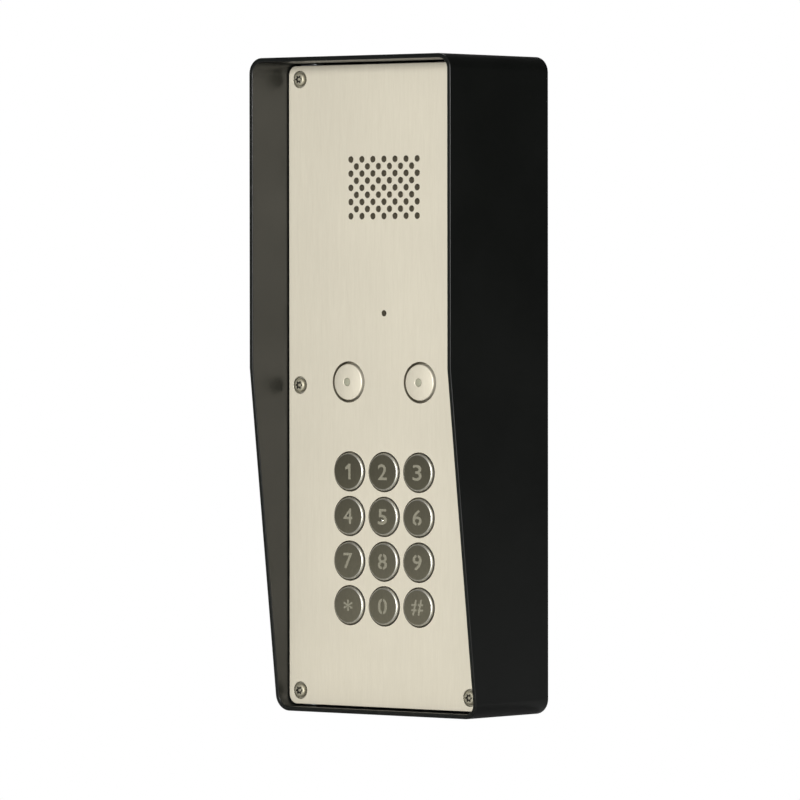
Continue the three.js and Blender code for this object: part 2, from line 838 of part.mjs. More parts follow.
// Flat cable from the keypad board's header back to the main board's header
function keypadRibbon() {
  const [, boardZ] = boardHeaders().keypad;
  const startZ = keypadZ + keypadHalfZ - ribbonInset;
  const near = keypadBoardRear - headerHeight - seat;
  const far = mainBoardFront + headerHeight + seat;
  const half = ribbonThickness / 2;
  const bulge = near - far;
  const curve = new THREE.CubicBezierCurve(
    new THREE.Vector2(near, startZ),
    new THREE.Vector2(near - bulge * 0.6, startZ),
    new THREE.Vector2(far + bulge * 0.6, boardZ),
    new THREE.Vector2(far, boardZ),
  );
  const upper = [];
  const lower = [];
  for (const point of curve.getPoints(12)) {
    upper.push([point.x, point.y + half]);
    lower.unshift([point.x, point.y - half]);
  }
  const ribbon = sideSlab([...upper, ...lower], -ribbonWidth / 2, ribbonWidth / 2);
  addPiece('keypad_ribbon', ribbon, finishes.wireGrey);
}

function leads() {
  const onHeader = mainBoardFront + headerHeight + seat;
  const headers = boardHeaders();
  const [speakerX, speakerZ] = headers.speaker;
  const speakerTail = grilleZ - magnetRadius - 4.5;
  addPiece('speaker_lead', lead([
    [8, basketRear - leadRadius - seat, speakerTail],
    [14, basketRear - 3, speakerTail - 3],
    [22, onHeader + 6, speakerZ + 7],
    [speakerX - 1, onHeader + 4, speakerZ + 1],
    [speakerX, onHeader, speakerZ],
  ], leadRadius, leadSteps), finishes.wireGrey);

  const [micX, micHeaderZ] = headers.microphone;
  const capsuleRear = behindPlate - bootWall - seat - micHeight;
  addPiece('microphone_lead', lead([
    [0, capsuleRear - seat, micZ],
    [0, capsuleRear - 5, micZ],
    [-7, onHeader + 6, micHeaderZ + 6],
    [micX + 1, onHeader + 4, micHeaderZ + 1],
    [micX, onHeader, micHeaderZ],
  ], leadRadius, leadSteps), finishes.wireGrey);

  const floor = switchFloor() - switchWall - seat;
  addPiece('call_switch_lead', lead([
    [-callSpacing / 2, floor, callZ],
    [-callSpacing / 2, floor - 3, callZ],
    [-8, floor - 5, callZ - 4],
    [8, floor - 5, callZ - 4],
    [callSpacing / 2, floor - 3, callZ],
    [callSpacing / 2, floor, callZ],
  ], leadRadius, leadSteps), finishes.wireGrey);
}

hood();
backPlate();
fixingRail('fixing_rail_left', -1);
fixingRail('fixing_rail_right', 1);
faceplate();
faceplateGasket();
faceplateScrews();
keys();
keypadFrame();
keypadMat();
keypadBoard();
for (const [hand, x] of callPlaces()) {
  callButton(`call_button_${hand}`, x);
  callLens(`call_lens_${hand}`, x);
  callSwitch(`call_switch_${hand}`, x);
  callSpring(`call_spring_${hand}`, x);
}
speaker();
speakerClamp();
microphone();
mainBoard();
boardFasteners();
boardParts();
keypadRibbon();
leads();

export default group;
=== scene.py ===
from math import atan2, cos, pi, radians, sin

import bmesh
import bpy
from mathutils import Matrix, Vector
from mathutils.geometry import interpolate_bezier


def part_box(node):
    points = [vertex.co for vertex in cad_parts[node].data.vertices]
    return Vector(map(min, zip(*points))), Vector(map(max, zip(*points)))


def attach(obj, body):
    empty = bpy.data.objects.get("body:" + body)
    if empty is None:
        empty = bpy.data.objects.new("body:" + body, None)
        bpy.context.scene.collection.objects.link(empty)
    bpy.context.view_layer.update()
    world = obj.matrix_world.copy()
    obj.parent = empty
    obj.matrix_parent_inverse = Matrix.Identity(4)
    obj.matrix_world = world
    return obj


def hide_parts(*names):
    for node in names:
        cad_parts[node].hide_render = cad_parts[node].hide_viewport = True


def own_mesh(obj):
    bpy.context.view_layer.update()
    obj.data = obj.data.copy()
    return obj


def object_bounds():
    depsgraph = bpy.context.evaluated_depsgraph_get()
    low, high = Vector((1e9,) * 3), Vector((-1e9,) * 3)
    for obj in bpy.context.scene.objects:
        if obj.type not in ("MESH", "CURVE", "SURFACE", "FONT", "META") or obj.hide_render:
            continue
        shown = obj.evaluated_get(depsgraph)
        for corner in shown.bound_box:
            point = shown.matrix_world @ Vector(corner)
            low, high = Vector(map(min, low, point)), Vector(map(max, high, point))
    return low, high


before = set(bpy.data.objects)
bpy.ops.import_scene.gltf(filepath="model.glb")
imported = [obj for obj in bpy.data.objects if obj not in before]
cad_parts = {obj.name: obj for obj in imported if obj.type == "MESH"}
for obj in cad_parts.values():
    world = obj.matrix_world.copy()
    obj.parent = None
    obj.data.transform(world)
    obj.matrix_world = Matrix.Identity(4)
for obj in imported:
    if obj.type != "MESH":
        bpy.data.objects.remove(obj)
cadLow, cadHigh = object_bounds()
scene = bpy.context.scene
print("frame loaded:", len(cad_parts), "nodes")

# Meshes are made in millimetres and made metres as they are finished.
# The front of the panel faces -Y, so a depth out from the wall is -y.
toMetres = 0.001

cameraSetup = {
    "place": (1.9470, -2.4433, 0.0416),
    "forward": (-0.62849, 0.77767, -0.01552),
    "right": (0.77777, 0.62855, -0.00082),
    "lens": 309.8,
    "sensor": 36,
}


def makeCamera():
    data = bpy.data.cameras.new("camera")
    data.lens = cameraSetup["lens"]
    data.sensor_width = cameraSetup["sensor"]
    data.clip_start, data.clip_end = 0.05, 50
    camera = bpy.data.objects.new("camera", data)
    scene.collection.objects.link(camera)
    forward = Vector(cameraSetup["forward"]).normalized()
    right = Vector(cameraSetup["right"])
    right = (right - right.dot(forward) * forward).normalized()
    turn = Matrix((right, right.cross(forward), -forward)).transposed()
    camera.matrix_world = Matrix.Translation(cameraSetup["place"]) @ turn.to_4x4()
    scene.camera = camera


makeCamera()
print("camera placed")

studio = {
    "ahead": 0.26,  # brightness of the room in front of the panel
    "behind": 0.026,  # and behind it
    "leftShare": 0.42,  # how the room's brightness changes from side to side
    "rightShare": 1.55,
    "aboveShare": 0.5,  # and from top to bottom
    "belowShare": 1.4,
    "keyPlace": (1.25, -2.35, 0.30),
    "keySize": 0.7,
    "keyPower": 79,
    "sidePlace": (-2.4, -0.6, 0.7),
    "sideSize": 1.4,
    "sidePower": 4,
    "rearPlace": (-0.7, 0.95, 2.4),
    "rearSize": 1.2,
    "rearPower": 24,
    "floorGap": 0.0004,
    "floorSize": 3,
    "floorTone": (0.6, 0.6, 0.6, 1),
}


def addNode(tree, kind, inputs=None, **settings):
    made = tree.nodes.new(kind)
    for key, value in settings.items():
        setattr(made, key, value)
    for key, value in (inputs or {}).items():
        if isinstance(value, bpy.types.NodeSocket):
            tree.links.new(value, made.inputs[key])
        else:
            made.inputs[key].default_value = value
    return made


def addLamp(name, place, size, power):
    data = bpy.data.lights.new(name, "AREA")
    data.shape = "DISK"
    data.size = size
    data.energy = power
    lamp = bpy.data.objects.new(name, data)
    lamp.location = place
    lamp.rotation_euler = (-Vector(place)).to_track_quat("-Z", "Y").to_euler()
    scene.collection.objects.link(lamp)


def makeStudio():
    world = bpy.data.worlds.new("studio")
    scene.world = world
    world.use_nodes = True
    tree = world.node_tree
    tree.nodes.clear()
    facing = addNode(tree, "ShaderNodeTexCoord").outputs["Generated"]
    axes = addNode(tree, "ShaderNodeSeparateXYZ", {"Vector": facing}).outputs
    room = 1.0
    for axis, start, end, first, last in (
        ("Y", -0.35, 0.35, "ahead", "behind"), ("X", -0.5, 0.35, "leftShare", "rightShare"),
        ("Z", -0.5, 0.5, "belowShare", "aboveShare"),
    ):
        share = addNode(tree, "ShaderNodeMapRange", {
            "Value": axes[axis], "From Min": start, "From Max": end, "To Min": studio[first],
            "To Max": studio[last],
        }, interpolation_type="SMOOTHSTEP").outputs["Result"]
        room = addNode(tree, "ShaderNodeMath", {0: room, 1: share}, operation="MULTIPLY").outputs[0]
    seen = addNode(tree, "ShaderNodeLightPath").outputs["Is Camera Ray"]
    strength = addNode(tree, "ShaderNodeMix", {0: seen, 2: room, 3: 1.0}).outputs[0]
    glow = addNode(tree, "ShaderNodeBackground", {"Color": (1, 1, 1, 1), "Strength": strength})
    result = addNode(tree, "ShaderNodeOutputWorld")
    tree.links.new(glow.outputs[0], result.inputs["Surface"])

    addLamp("lamp_key", studio["keyPlace"], studio["keySize"], studio["keyPower"])
    addLamp("lamp_side", studio["sidePlace"], studio["sideSize"], studio["sidePower"])
    addLamp("lamp_rear", studio["rearPlace"], studio["rearSize"], studio["rearPower"])

    bm = bmesh.new()
    bmesh.ops.create_grid(bm, x_segments=1, y_segments=1, size=studio["floorSize"] / 2)
    bmesh.ops.translate(bm, vec=(0, 0, cadLow.z - studio["floorGap"]), verts=bm.verts)
    mesh = bpy.data.meshes.new("floor")
    bm.to_mesh(mesh)
    bm.free()
    floor = bpy.data.objects.new("floor", mesh)
    scene.collection.objects.link(floor)
    pale = bpy.data.materials.new("pale_floor")
    pale.use_nodes = True
    tree = pale.node_tree
    paint = tree.nodes["Principled BSDF"]
    paint.inputs["Base Color"].default_value = studio["floorTone"]
    paint.inputs["Roughness"].default_value = 0.8
    glow = addNode(tree, "ShaderNodeEmission", {"Color": (1, 1, 1, 1), "Strength": 1.0})
    seen = addNode(tree, "ShaderNodeLightPath").outputs["Is Camera Ray"]
    mix = addNode(tree, "ShaderNodeMixShader", {0: seen, 1: paint.outputs[0], 2: glow.outputs[0]})
    tree.links.new(mix.outputs[0], tree.nodes["Material Output"].inputs["Surface"])
    mesh.materials.append(pale)
    scene.view_settings.view_transform = "Standard"


makeStudio()
print("studio lit")


def effectGroup(name, inputs, outputs):
    tree = bpy.data.node_groups.new(name, "ShaderNodeTree")
    for label, kind, value in inputs:
        made = tree.interface.new_socket(name=label, in_out="INPUT", socket_type="NodeSocket" + kind)
        made.default_value = value
    for label, kind in outputs:
        tree.interface.new_socket(name=label, in_out="OUTPUT", socket_type="NodeSocket" + kind)
    return tree, tree.nodes.new("NodeGroupInput").outputs, tree.nodes.new("NodeGroupOutput").inputs


def noiseAt(tree, vector, scale, detail=3.0, roughness=0.55):
    return addNode(tree, "ShaderNodeTexNoise", {
        "Vector": vector, "Scale": scale, "Detail": detail, "Roughness": roughness,
    }).outputs["Fac"]


def rescale(tree, value, low, high, newLow, newHigh):
    return addNode(tree, "ShaderNodeMapRange", {
        "Value": value, "From Min": low, "From Max": high, "To Min": newLow, "To Max": newHigh,
    }).outputs["Result"]


def arithmetic(tree, operation, first, second):
    return addNode(tree, "ShaderNodeMath", {0: first, 1: second}, operation=operation).outputs[0]


def mixColors(tree, share, first, second):
    return addNode(tree, "ShaderNodeMix", {0: share, 6: first, 7: second}, data_type="RGBA").outputs[2]


# Fine scratches in one direction, as a belt leaves on sheet metal
def makeBrushing():
    tree, given, result = effectGroup("brushing", [
        ("Color", "Color", (0.6, 0.6, 0.6, 1)),
        ("Streak Color", "Color", (0.5, 0.5, 0.5, 1)),
        ("Across", "Float", 2000.0),
        ("Along", "Float", 90.0),
        ("Amount", "Float", 0.5),
        ("Roughness", "Float", 0.4),
        ("Roughness Spread", "Float", 0.1),
    ], [("Color", "Color"), ("Roughness", "Float"), ("Height", "Float")])
    place = addNode(tree, "ShaderNodeTexCoord").outputs["Object"]
    stretch = addNode(tree, "ShaderNodeCombineXYZ", {
        "X": given["Across"], "Y": given["Across"], "Z": given["Along"],
    }).outputs[0]
    stretched = addNode(tree, "ShaderNodeVectorMath", {0: place, 1: stretch}, operation="MULTIPLY").outputs[0]
    fine = noiseAt(tree, stretched, 1.0, 4.0, 0.7)
    broad = noiseAt(tree, stretched, 0.31, 2.0, 0.5)
    cloud = noiseAt(tree, place, 26.0, 3.0, 0.5)
    both = arithmetic(tree, "ADD", arithmetic(tree, "MULTIPLY", fine, 0.65),
                      arithmetic(tree, "MULTIPLY", broad, 0.35))
    share = arithmetic(tree, "MULTIPLY", rescale(tree, both, 0.32, 0.68, 0.0, 1.0), given["Amount"])
    tree.links.new(mixColors(tree, share, given["Color"], given["Streak Color"]), result["Color"])
    drift = rescale(tree, arithmetic(tree, "ADD", both, cloud), 0.7, 1.3, -0.5, 0.5)
    swing = arithmetic(tree, "MULTIPLY", drift, given["Roughness Spread"])
    tree.links.new(arithmetic(tree, "ADD", given["Roughness"], swing), result["Roughness"])
    tree.links.new(both, result["Height"])
    return tree


# Grain of a moulded, coated or cast surface, with soft patches and fine specks
def makeMottle():
    tree, given, result = effectGroup("mottle", [
        ("Color", "Color", (0.5, 0.5, 0.5, 1)),
        ("Second Color", "Color", (0.4, 0.4, 0.4, 1)),
        ("Scale", "Float", 800.0),
        ("Patch Scale", "Float", 30.0),
        ("Amount", "Float", 0.5),
        ("Roughness", "Float", 0.5),
        ("Roughness Spread", "Float", 0.1),
    ], [("Color", "Color"), ("Roughness", "Float"), ("Height", "Float")])
    place = addNode(tree, "ShaderNodeTexCoord").outputs["Object"]
    grain = noiseAt(tree, place, given["Scale"], 3.0, 0.6)
    patch = noiseAt(tree, place, given["Patch Scale"], 4.0, 0.55)
    both = arithmetic(tree, "ADD", arithmetic(tree, "MULTIPLY", grain, 0.5),
                      arithmetic(tree, "MULTIPLY", patch, 0.5))
    share = arithmetic(tree, "MULTIPLY", rescale(tree, both, 0.38, 0.62, 0.0, 1.0), given["Amount"])
    tree.links.new(mixColors(tree, share, given["Color"], given["Second Color"]), result["Color"])
    swing = arithmetic(tree, "MULTIPLY", rescale(tree, both, 0.38, 0.62, -0.5, 0.5),
                       given["Roughness Spread"])
    tree.links.new(arithmetic(tree, "ADD", given["Roughness"], swing), result["Roughness"])
    tree.links.new(grain, result["Height"])
    return tree


# Handling wear: the finish goes thin and lighter where an edge stands out
def makeEdgeWear():
    tree, given, result = effectGroup("edge_wear", [
        ("Color", "Color", (0.5, 0.5, 0.5, 1)),
        ("Worn Color", "Color", (0.8, 0.8, 0.8, 1)),
        ("Reach", "Float", 0.0006),
        ("Amount", "Float", 0.5),
        ("Breakup Scale", "Float", 350.0),
    ], [("Color", "Color"), ("Mask", "Float")])
    rounded = addNode(tree, "ShaderNodeBevel", {"Radius": given["Reach"]}, samples=4).outputs[0]
    straight = addNode(tree, "ShaderNodeNewGeometry").outputs["Normal"]
    agree = addNode(tree, "ShaderNodeVectorMath", {0: rounded, 1: straight},
                    operation="DOT_PRODUCT").outputs["Value"]
    edge = rescale(tree, agree, 0.995, 0.86, 0.0, 1.0)
    place = addNode(tree, "ShaderNodeTexCoord").outputs["Object"]
    breakup = rescale(tree, noiseAt(tree, place, given["Breakup Scale"], 3.0, 0.6), 0.35, 0.62, 0.15, 1.0)
    mask = arithmetic(tree, "MULTIPLY", arithmetic(tree, "MULTIPLY", edge, breakup), given["Amount"])
    tree.links.new(mixColors(tree, mask, given["Color"], given["Worn Color"]), result["Color"])
    tree.links.new(mask, result["Mask"])
    return tree


# Painted shade: the colour goes darker where ambient occlusion finds a surface closed in, in crevices, gaps
# and corners
def makePaintedCreviceShade():
    tree, given, result = effectGroup("painted_crevice_shade", [
        ("Color", "Color", (0.5, 0.5, 0.5, 1)),
        ("Shade Color", "Color", (0.05, 0.045, 0.035, 1)),
        ("Reach", "Float", 0.003),
        ("Amount", "Float", 0.8),
    ], [("Color", "Color"), ("Mask", "Float")])
    closed = addNode(tree, "ShaderNodeAmbientOcclusion", {"Distance": given["Reach"]},
                     samples=8).outputs["AO"]
    mask = arithmetic(tree, "MULTIPLY", rescale(tree, closed, 0.25, 0.85, 1.0, 0.0), given["Amount"])
    tree.links.new(mixColors(tree, mask, given["Color"], given["Shade Color"]), result["Color"])
    tree.links.new(mask, result["Mask"])
    return tree


brushing = makeBrushing()
mottle = makeMottle()
edgeWear = makeEdgeWear()
painted_crevice_shade = makePaintedCreviceShade()


def placeGroup(tree, group, values):
    made = tree.nodes.new("ShaderNodeGroup")
    made.node_tree = group
    for key, value in values.items():
        if isinstance(value, bpy.types.NodeSocket):
            tree.links.new(value, made.inputs[key])
        else:
            made.inputs[key].default_value = value
    return made.outputs


def makeFinish(name, group, values, shader=None, bump=0.2, bumpDepth=0.00003, wear=None, paintedShade=None):
    material = bpy.data.materials.new(name)
    material.use_nodes = True
    tree = material.node_tree
    surface = tree.nodes["Principled BSDF"]
    for key, value in (shader or {}).items():
        surface.inputs[key].default_value = value
    detail = placeGroup(tree, group, values)
    color = detail["Color"]
    if wear:
        color = placeGroup(tree, edgeWear, {"Color": color, **wear})["Color"]
    if paintedShade:
        color = placeGroup(tree, painted_crevice_shade, {"Color": color, **paintedShade})["Color"]
    tree.links.new(color, surface.inputs["Base Color"])
    tree.links.new(detail["Roughness"], surface.inputs["Roughness"])
    relief = addNode(tree, "ShaderNodeBump", {
        "Height": detail["Height"], "Strength": bump, "Distance": bumpDepth,
    })
    tree.links.new(relief.outputs[0], surface.inputs["Normal"])
    return material


finishes = {
    "black_powder_coat": makeFinish("black_powder_coat", mottle, {
        "Color": (0.0040, 0.0047, 0.0040, 1), "Second Color": (0.0068, 0.0076, 0.0066, 1),
        "Scale": 1500.0, "Patch Scale": 24.0, "Amount": 0.8, "Roughness": 0.33, "Roughness Spread": 0.08,
    }, {"Specular IOR Level": 0.34}, 0.25, 0.00002,
        {"Worn Color": (0.06, 0.06, 0.055, 1), "Reach": 0.0005, "Amount": 0.45}),
    # Its colour takes painted shade in crevices and gaps
    "brushed_stainless": makeFinish("brushed_stainless", brushing, {
        "Color": (0.735, 0.685, 0.555, 1), "Streak Color": (0.655, 0.605, 0.480, 1),
        "Across": 1900.0, "Along": 150.0, "Amount": 0.6, "Roughness": 0.5, "Roughness Spread": 0.12,
    }, {"Metallic": 0.3}, 0.12, 0.00002, None,
    {"Shade Color": (0.10, 0.092, 0.066, 1), "Reach": 0.0014, "Amount": 0.35}),
    # Its colour takes painted shade in crevices and in the socket
    "screw_steel": makeFinish("screw_steel", brushing, {
        "Color": (0.58, 0.545, 0.42, 1), "Streak Color": (0.45, 0.42, 0.32, 1),
        "Across": 3500.0, "Along": 900.0, "Amount": 0.6, "Roughness": 0.58, "Roughness Spread": 0.12,
    }, {"Metallic": 0.85}, 0.15, 0.00002, None,
    {"Shade Color": (0.030, 0.026, 0.016, 1), "Reach": 0.0010, "Amount": 0.9}),
    # Its colour takes painted shade in the corners of the counterbores
    "bore_steel": makeFinish("bore_steel", brushing, {
        "Color": (0.70, 0.665, 0.53, 1), "Streak Color": (0.57, 0.54, 0.43, 1),
        "Across": 2600.0, "Along": 2600.0, "Amount": 0.7, "Roughness": 0.42, "Roughness Spread": 0.12,
    }, {"Metallic": 0.7}, 0.15, 0.00002, None,
    {"Shade Color": (0.035, 0.030, 0.018, 1), "Reach": 0.0014, "Amount": 0.6}),
    # Hole walls: the cut metal's own darker tone and painted shade in the holes; on the key and call skirts
    # it is only painted shade
    "cut_metal_and_shade": makeFinish("cut_metal_and_shade", mottle, {
        "Color": (0.19, 0.168, 0.118, 1), "Second Color": (0.135, 0.12, 0.084, 1),
        "Scale": 1600.0, "Patch Scale": 300.0, "Amount": 0.8, "Roughness": 0.6, "Roughness Spread": 0.2,
    }, {"Metallic": 0.4}, 0.3, 0.00003),
    # Near-black finish that paints the shade in the screws' sockets
    "painted_socket_shade": makeFinish("painted_socket_shade", mottle, {
        "Color": (0.034, 0.030, 0.021, 1), "Second Color": (0.020, 0.018, 0.013, 1),
        "Scale": 1600.0, "Patch Scale": 300.0, "Amount": 0.8, "Roughness": 0.75, "Roughness Spread": 0.15,
    }, {"Specular IOR Level": 0.3}, 0.4, 0.00004),
    "key_steel": makeFinish("key_steel", brushing, {
        "Color": (0.80, 0.78, 0.70, 1), "Streak Color": (0.70, 0.68, 0.60, 1),
        "Across": 2400.0, "Along": 2400.0, "Amount": 0.5, "Roughness": 0.16, "Roughness Spread": 0.06,
    }, {"Metallic": 1.0}, 0.08, 0.00002),
    "zinc_steel": makeFinish("zinc_steel", mottle, {
        "Color": (0.46, 0.48, 0.50, 1), "Second Color": (0.34, 0.36, 0.38, 1),
        "Scale": 260.0, "Patch Scale": 70.0, "Amount": 0.9, "Roughness": 0.38, "Roughness Spread": 0.2,
    }, {"Metallic": 0.85}, 0.12, 0.00003),
    "black_rubber": makeFinish("black_rubber", mottle, {
        "Color": (0.012, 0.012, 0.012, 1), "Second Color": (0.025, 0.024, 0.023, 1),
        "Scale": 1100.0, "Patch Scale": 60.0, "Amount": 0.8, "Roughness": 0.75, "Roughness Spread": 0.15,
    }, {"Specular IOR Level": 0.3}, 0.35, 0.00004),
    "grey_silicone": makeFinish("grey_silicone", mottle, {
        "Color": (0.27, 0.28, 0.285, 1), "Second Color": (0.33, 0.34, 0.345, 1),
        "Scale": 700.0, "Patch Scale": 45.0, "Amount": 0.7, "Roughness": 0.62, "Roughness Spread": 0.15,
    }, {"Subsurface Weight": 0.08, "Subsurface Scale": 0.002}, 0.2, 0.00003),
    "black_plastic": makeFinish("black_plastic", mottle, {
        "Color": (0.014, 0.015, 0.017, 1), "Second Color": (0.024, 0.025, 0.028, 1),
        "Scale": 1300.0, "Patch Scale": 40.0, "Amount": 0.6, "Roughness": 0.48, "Roughness Spread": 0.14,
    }, None, 0.35, 0.00003),
    "terminal_green": makeFinish("terminal_green", mottle, {
        "Color": (0.030, 0.245, 0.070, 1), "Second Color": (0.022, 0.190, 0.055, 1),
        "Scale": 900.0, "Patch Scale": 60.0, "Amount": 0.7, "Roughness": 0.42, "Roughness Spread": 0.12,
    }, None, 0.2, 0.00003),
    "cone_paper": makeFinish("cone_paper", mottle, {
        "Color": (0.024, 0.022, 0.020, 1), "Second Color": (0.050, 0.046, 0.042, 1),
        "Scale": 1400.0, "Patch Scale": 180.0, "Amount": 0.9, "Roughness": 0.86, "Roughness Spread": 0.12,
    }, None, 0.6, 0.00008),
    "ferrite": makeFinish("ferrite", mottle, {
        "Color": (0.040, 0.041, 0.044, 1), "Second Color": (0.072, 0.072, 0.076, 1),
        "Scale": 900.0, "Patch Scale": 120.0, "Amount": 0.9, "Roughness": 0.55, "Roughness Spread": 0.2,
    }, {"Metallic": 0.25}, 0.4, 0.00005),
    "wire_grey": makeFinish("wire_grey", mottle, {
        "Color": (0.175, 0.18, 0.185, 1), "Second Color": (0.215, 0.22, 0.225, 1),
        "Scale": 600.0, "Patch Scale": 90.0, "Amount": 0.7, "Roughness": 0.5, "Roughness Spread": 0.12,
    }, None, 0.15, 0.00003),
    "light_pipe": makeFinish("light_pipe", mottle, {
        "Color": (0.335, 0.330, 0.245, 1), "Second Color": (0.300, 0.296, 0.220, 1),
        "Scale": 900.0, "Patch Scale": 300.0, "Amount": 0.6, "Roughness": 0.32, "Roughness Spread": 0.1,
    }, {"Coat Weight": 0.2}, 0.1, 0.00002),
    "legend": makeFinish("legend", mottle, {
        "Color": (0.240, 0.226, 0.168, 1), "Second Color": (0.207, 0.195, 0.144, 1),
        "Scale": 2200.0, "Patch Scale": 500.0, "Amount": 0.7, "Roughness": 0.5, "Roughness Spread": 0.1,
    }, None, 0.1, 0.00002),
    "ceramic": makeFinish("ceramic", mottle, {
        "Color": (0.060, 0.052, 0.045, 1), "Second Color": (0.040, 0.036, 0.032, 1),
        "Scale": 1200.0, "Patch Scale": 300.0, "Amount": 0.7, "Roughness": 0.5, "Roughness Spread": 0.15,
    }, None, 0.2, 0.00003),
    "solder_gold": makeFinish("solder_gold", mottle, {
        "Color": (0.78, 0.55, 0.22, 1), "Second Color": (0.66, 0.46, 0.18, 1),
        "Scale": 900.0, "Patch Scale": 200.0, "Amount": 0.6, "Roughness": 0.3, "Roughness Spread": 0.12,
    }, {"Metallic": 0.95}, 0.1, 0.00002),
}


keyShape = {"radius": 8.4, "rim": 1.0, "crown": 0.15, "crownSteps": 6, "flange": 9.7, "flangeThickness": 1.2,
            "sides": 72}


# Keys: the face is dark and satin, with painted light that makes it lighter in the lower rows, and the rim
# and side are bright turned steel
def makeKeyFinish():
    material = bpy.data.materials.new("key_face")
    material.use_nodes = True
    tree = material.node_tree
    surface = tree.nodes["Principled BSDF"]
    top = millimetres("key_5")[0].y * toMetres
    place = addNode(tree, "ShaderNodeTexCoord").outputs["Object"]
    axes = addNode(tree, "ShaderNodeSeparateXYZ", {"Vector": place}).outputs
    depth = axes["Y"]
    # Painted light: the face's colour goes lighter from the top row of keys to the bottom row
    paintedRowLight = rescale(tree, axes["Z"], middle("key_2").z * toMetres, middle("key_0").z * toMetres, 0.0, 1.0)
    edge = top + keyShape["crown"] * toMetres
    side = rescale(tree, depth, edge + 0.00002, edge + 0.00010, 0.0, 1.0)
    face = placeGroup(tree, brushing, {
        "Color": mixColors(tree, paintedRowLight, (0.205, 0.190, 0.133, 1), (0.300, 0.278, 0.200, 1)),
        "Streak Color": mixColors(tree, paintedRowLight, (0.160, 0.148, 0.103, 1), (0.233, 0.216, 0.155, 1)),
        "Across": 2600.0, "Along": 900.0, "Amount": 0.8, "Roughness": 0.42, "Roughness Spread": 0.1,
    })
    steel = placeGroup(tree, brushing, {
        "Color": (0.66, 0.645, 0.575, 1), "Streak Color": (0.59, 0.575, 0.51, 1),
        "Across": 1800.0, "Along": 1800.0, "Amount": 0.5, "Roughness": 0.5, "Roughness Spread": 0.08,
    })
    tree.links.new(mixColors(tree, side, face["Color"], steel["Color"]), surface.inputs["Base Color"])
    rough = addNode(tree, "ShaderNodeMix", {0: side, 2: face["Roughness"], 3: steel["Roughness"]}).outputs[0]
    tree.links.new(rough, surface.inputs["Roughness"])
    tree.links.new(rescale(tree, side, 0.0, 1.0, 0.86, 1.0), surface.inputs["Metallic"])
    relief = addNode(tree, "ShaderNodeBump", {"Height": face["Height"], "Strength": 0.1, "Distance": 0.00002})
    tree.links.new(relief.outputs[0], surface.inputs["Normal"])
    return material


# Woven dust cloth behind the grille
def makeClothFinish():
    material = bpy.data.materials.new("mesh_cloth")
    material.use_nodes = True
    tree = material.node_tree
    surface = tree.nodes["Principled BSDF"]
    surface.inputs["Sheen Weight"].default_value = 0.2
    place = addNode(tree, "ShaderNodeTexCoord").outputs["Object"]
    weave = []
    for axis in ("X", "Z"):
        weave.append(addNode(tree, "ShaderNodeTexWave", {"Vector": place, "Scale": 420.0, "Distortion": 0.4},
                             bands_direction=axis).outputs["Fac"])
    height = arithmetic(tree, "MULTIPLY", weave[0], weave[1])
    detail = placeGroup(tree, mottle, {
        "Color": (0.26, 0.222, 0.138, 1), "Second Color": (0.18, 0.155, 0.097, 1),
        "Scale": 1500.0, "Patch Scale": 200.0, "Amount": 0.8, "Roughness": 0.85, "Roughness Spread": 0.1,
    })
    holes = rescale(tree, height, 0.1, 0.6, 0.55, 0.0)
    tree.links.new(mixColors(tree, holes, detail["Color"], (0.05, 0.045, 0.03, 1)),
                   surface.inputs["Base Color"])
    tree.links.new(detail["Roughness"], surface.inputs["Roughness"])
    relief = addNode(tree, "ShaderNodeBump", {"Height": height, "Strength": 0.6, "Distance": 0.00015})
    tree.links.new(relief.outputs[0], surface.inputs["Normal"])
    return material


# Solder mask over copper tracks
def makeBoardFinish():
    material = bpy.data.materials.new("circuit_board")
    material.use_nodes = True
    tree = material.node_tree
    surface = tree.nodes["Principled BSDF"]
    surface.inputs["Coat Weight"].default_value = 0.35
    place = addNode(tree, "ShaderNodeTexCoord").outputs["Object"]
    turned = addNode(tree, "ShaderNodeMapping", {"Vector": place, "Rotation": (pi / 2, 0, 0)}).outputs[0]
    tracks = addNode(tree, "ShaderNodeTexBrick", {
        "Vector": turned, "Color1": (0, 0, 0, 1), "Color2": (0, 0, 0, 1), "Mortar": (1, 1, 1, 1),
        "Scale": 420.0, "Mortar Size": 0.05, "Mortar Smooth": 0.2, "Brick Width": 2.6, "Row Height": 0.55,
    }, offset=0.37, squash=1.6, squash_frequency=3).outputs["Fac"]
    breakup = rescale(tree, noiseAt(tree, place, 120.0, 2.0, 0.4), 0.48, 0.5, 0.0, 1.0)
    shown = arithmetic(tree, "MULTIPLY", tracks, breakup)
    detail = placeGroup(tree, mottle, {
        "Color": (0.012, 0.085, 0.030, 1), "Second Color": (0.010, 0.068, 0.025, 1),
        "Scale": 900.0, "Patch Scale": 50.0, "Amount": 0.7, "Roughness": 0.36, "Roughness Spread": 0.1,
    })
    tree.links.new(mixColors(tree, shown, detail["Color"], (0.035, 0.175, 0.060, 1)),
                   surface.inputs["Base Color"])
    tree.links.new(detail["Roughness"], surface.inputs["Roughness"])
    relief = addNode(tree, "ShaderNodeBump", {"Height": shown, "Strength": 0.4, "Distance": 0.00004})
    tree.links.new(relief.outputs[0], surface.inputs["Normal"])
    return material


def millimetres(node):
    low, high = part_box(node)
    return low / toMetres, high / toMetres


def middle(node):
    low, high = millimetres(node)
    return (low + high) / 2


finishes["key_face"] = makeKeyFinish()
finishes["mesh_cloth"] = makeClothFinish()
finishes["circuit_board"] = makeBoardFinish()
print("finishes made:", len(finishes))


def loopOf(verts, x, z, halfX, halfZ):
    inside = set(verts)
    edges = {e for v in verts for e in v.link_edges if e.other_vert(v) in inside}
    return {"verts": list(verts), "edges": list(edges), "x": x, "z": z, "halfX": halfX, "halfZ": halfZ}


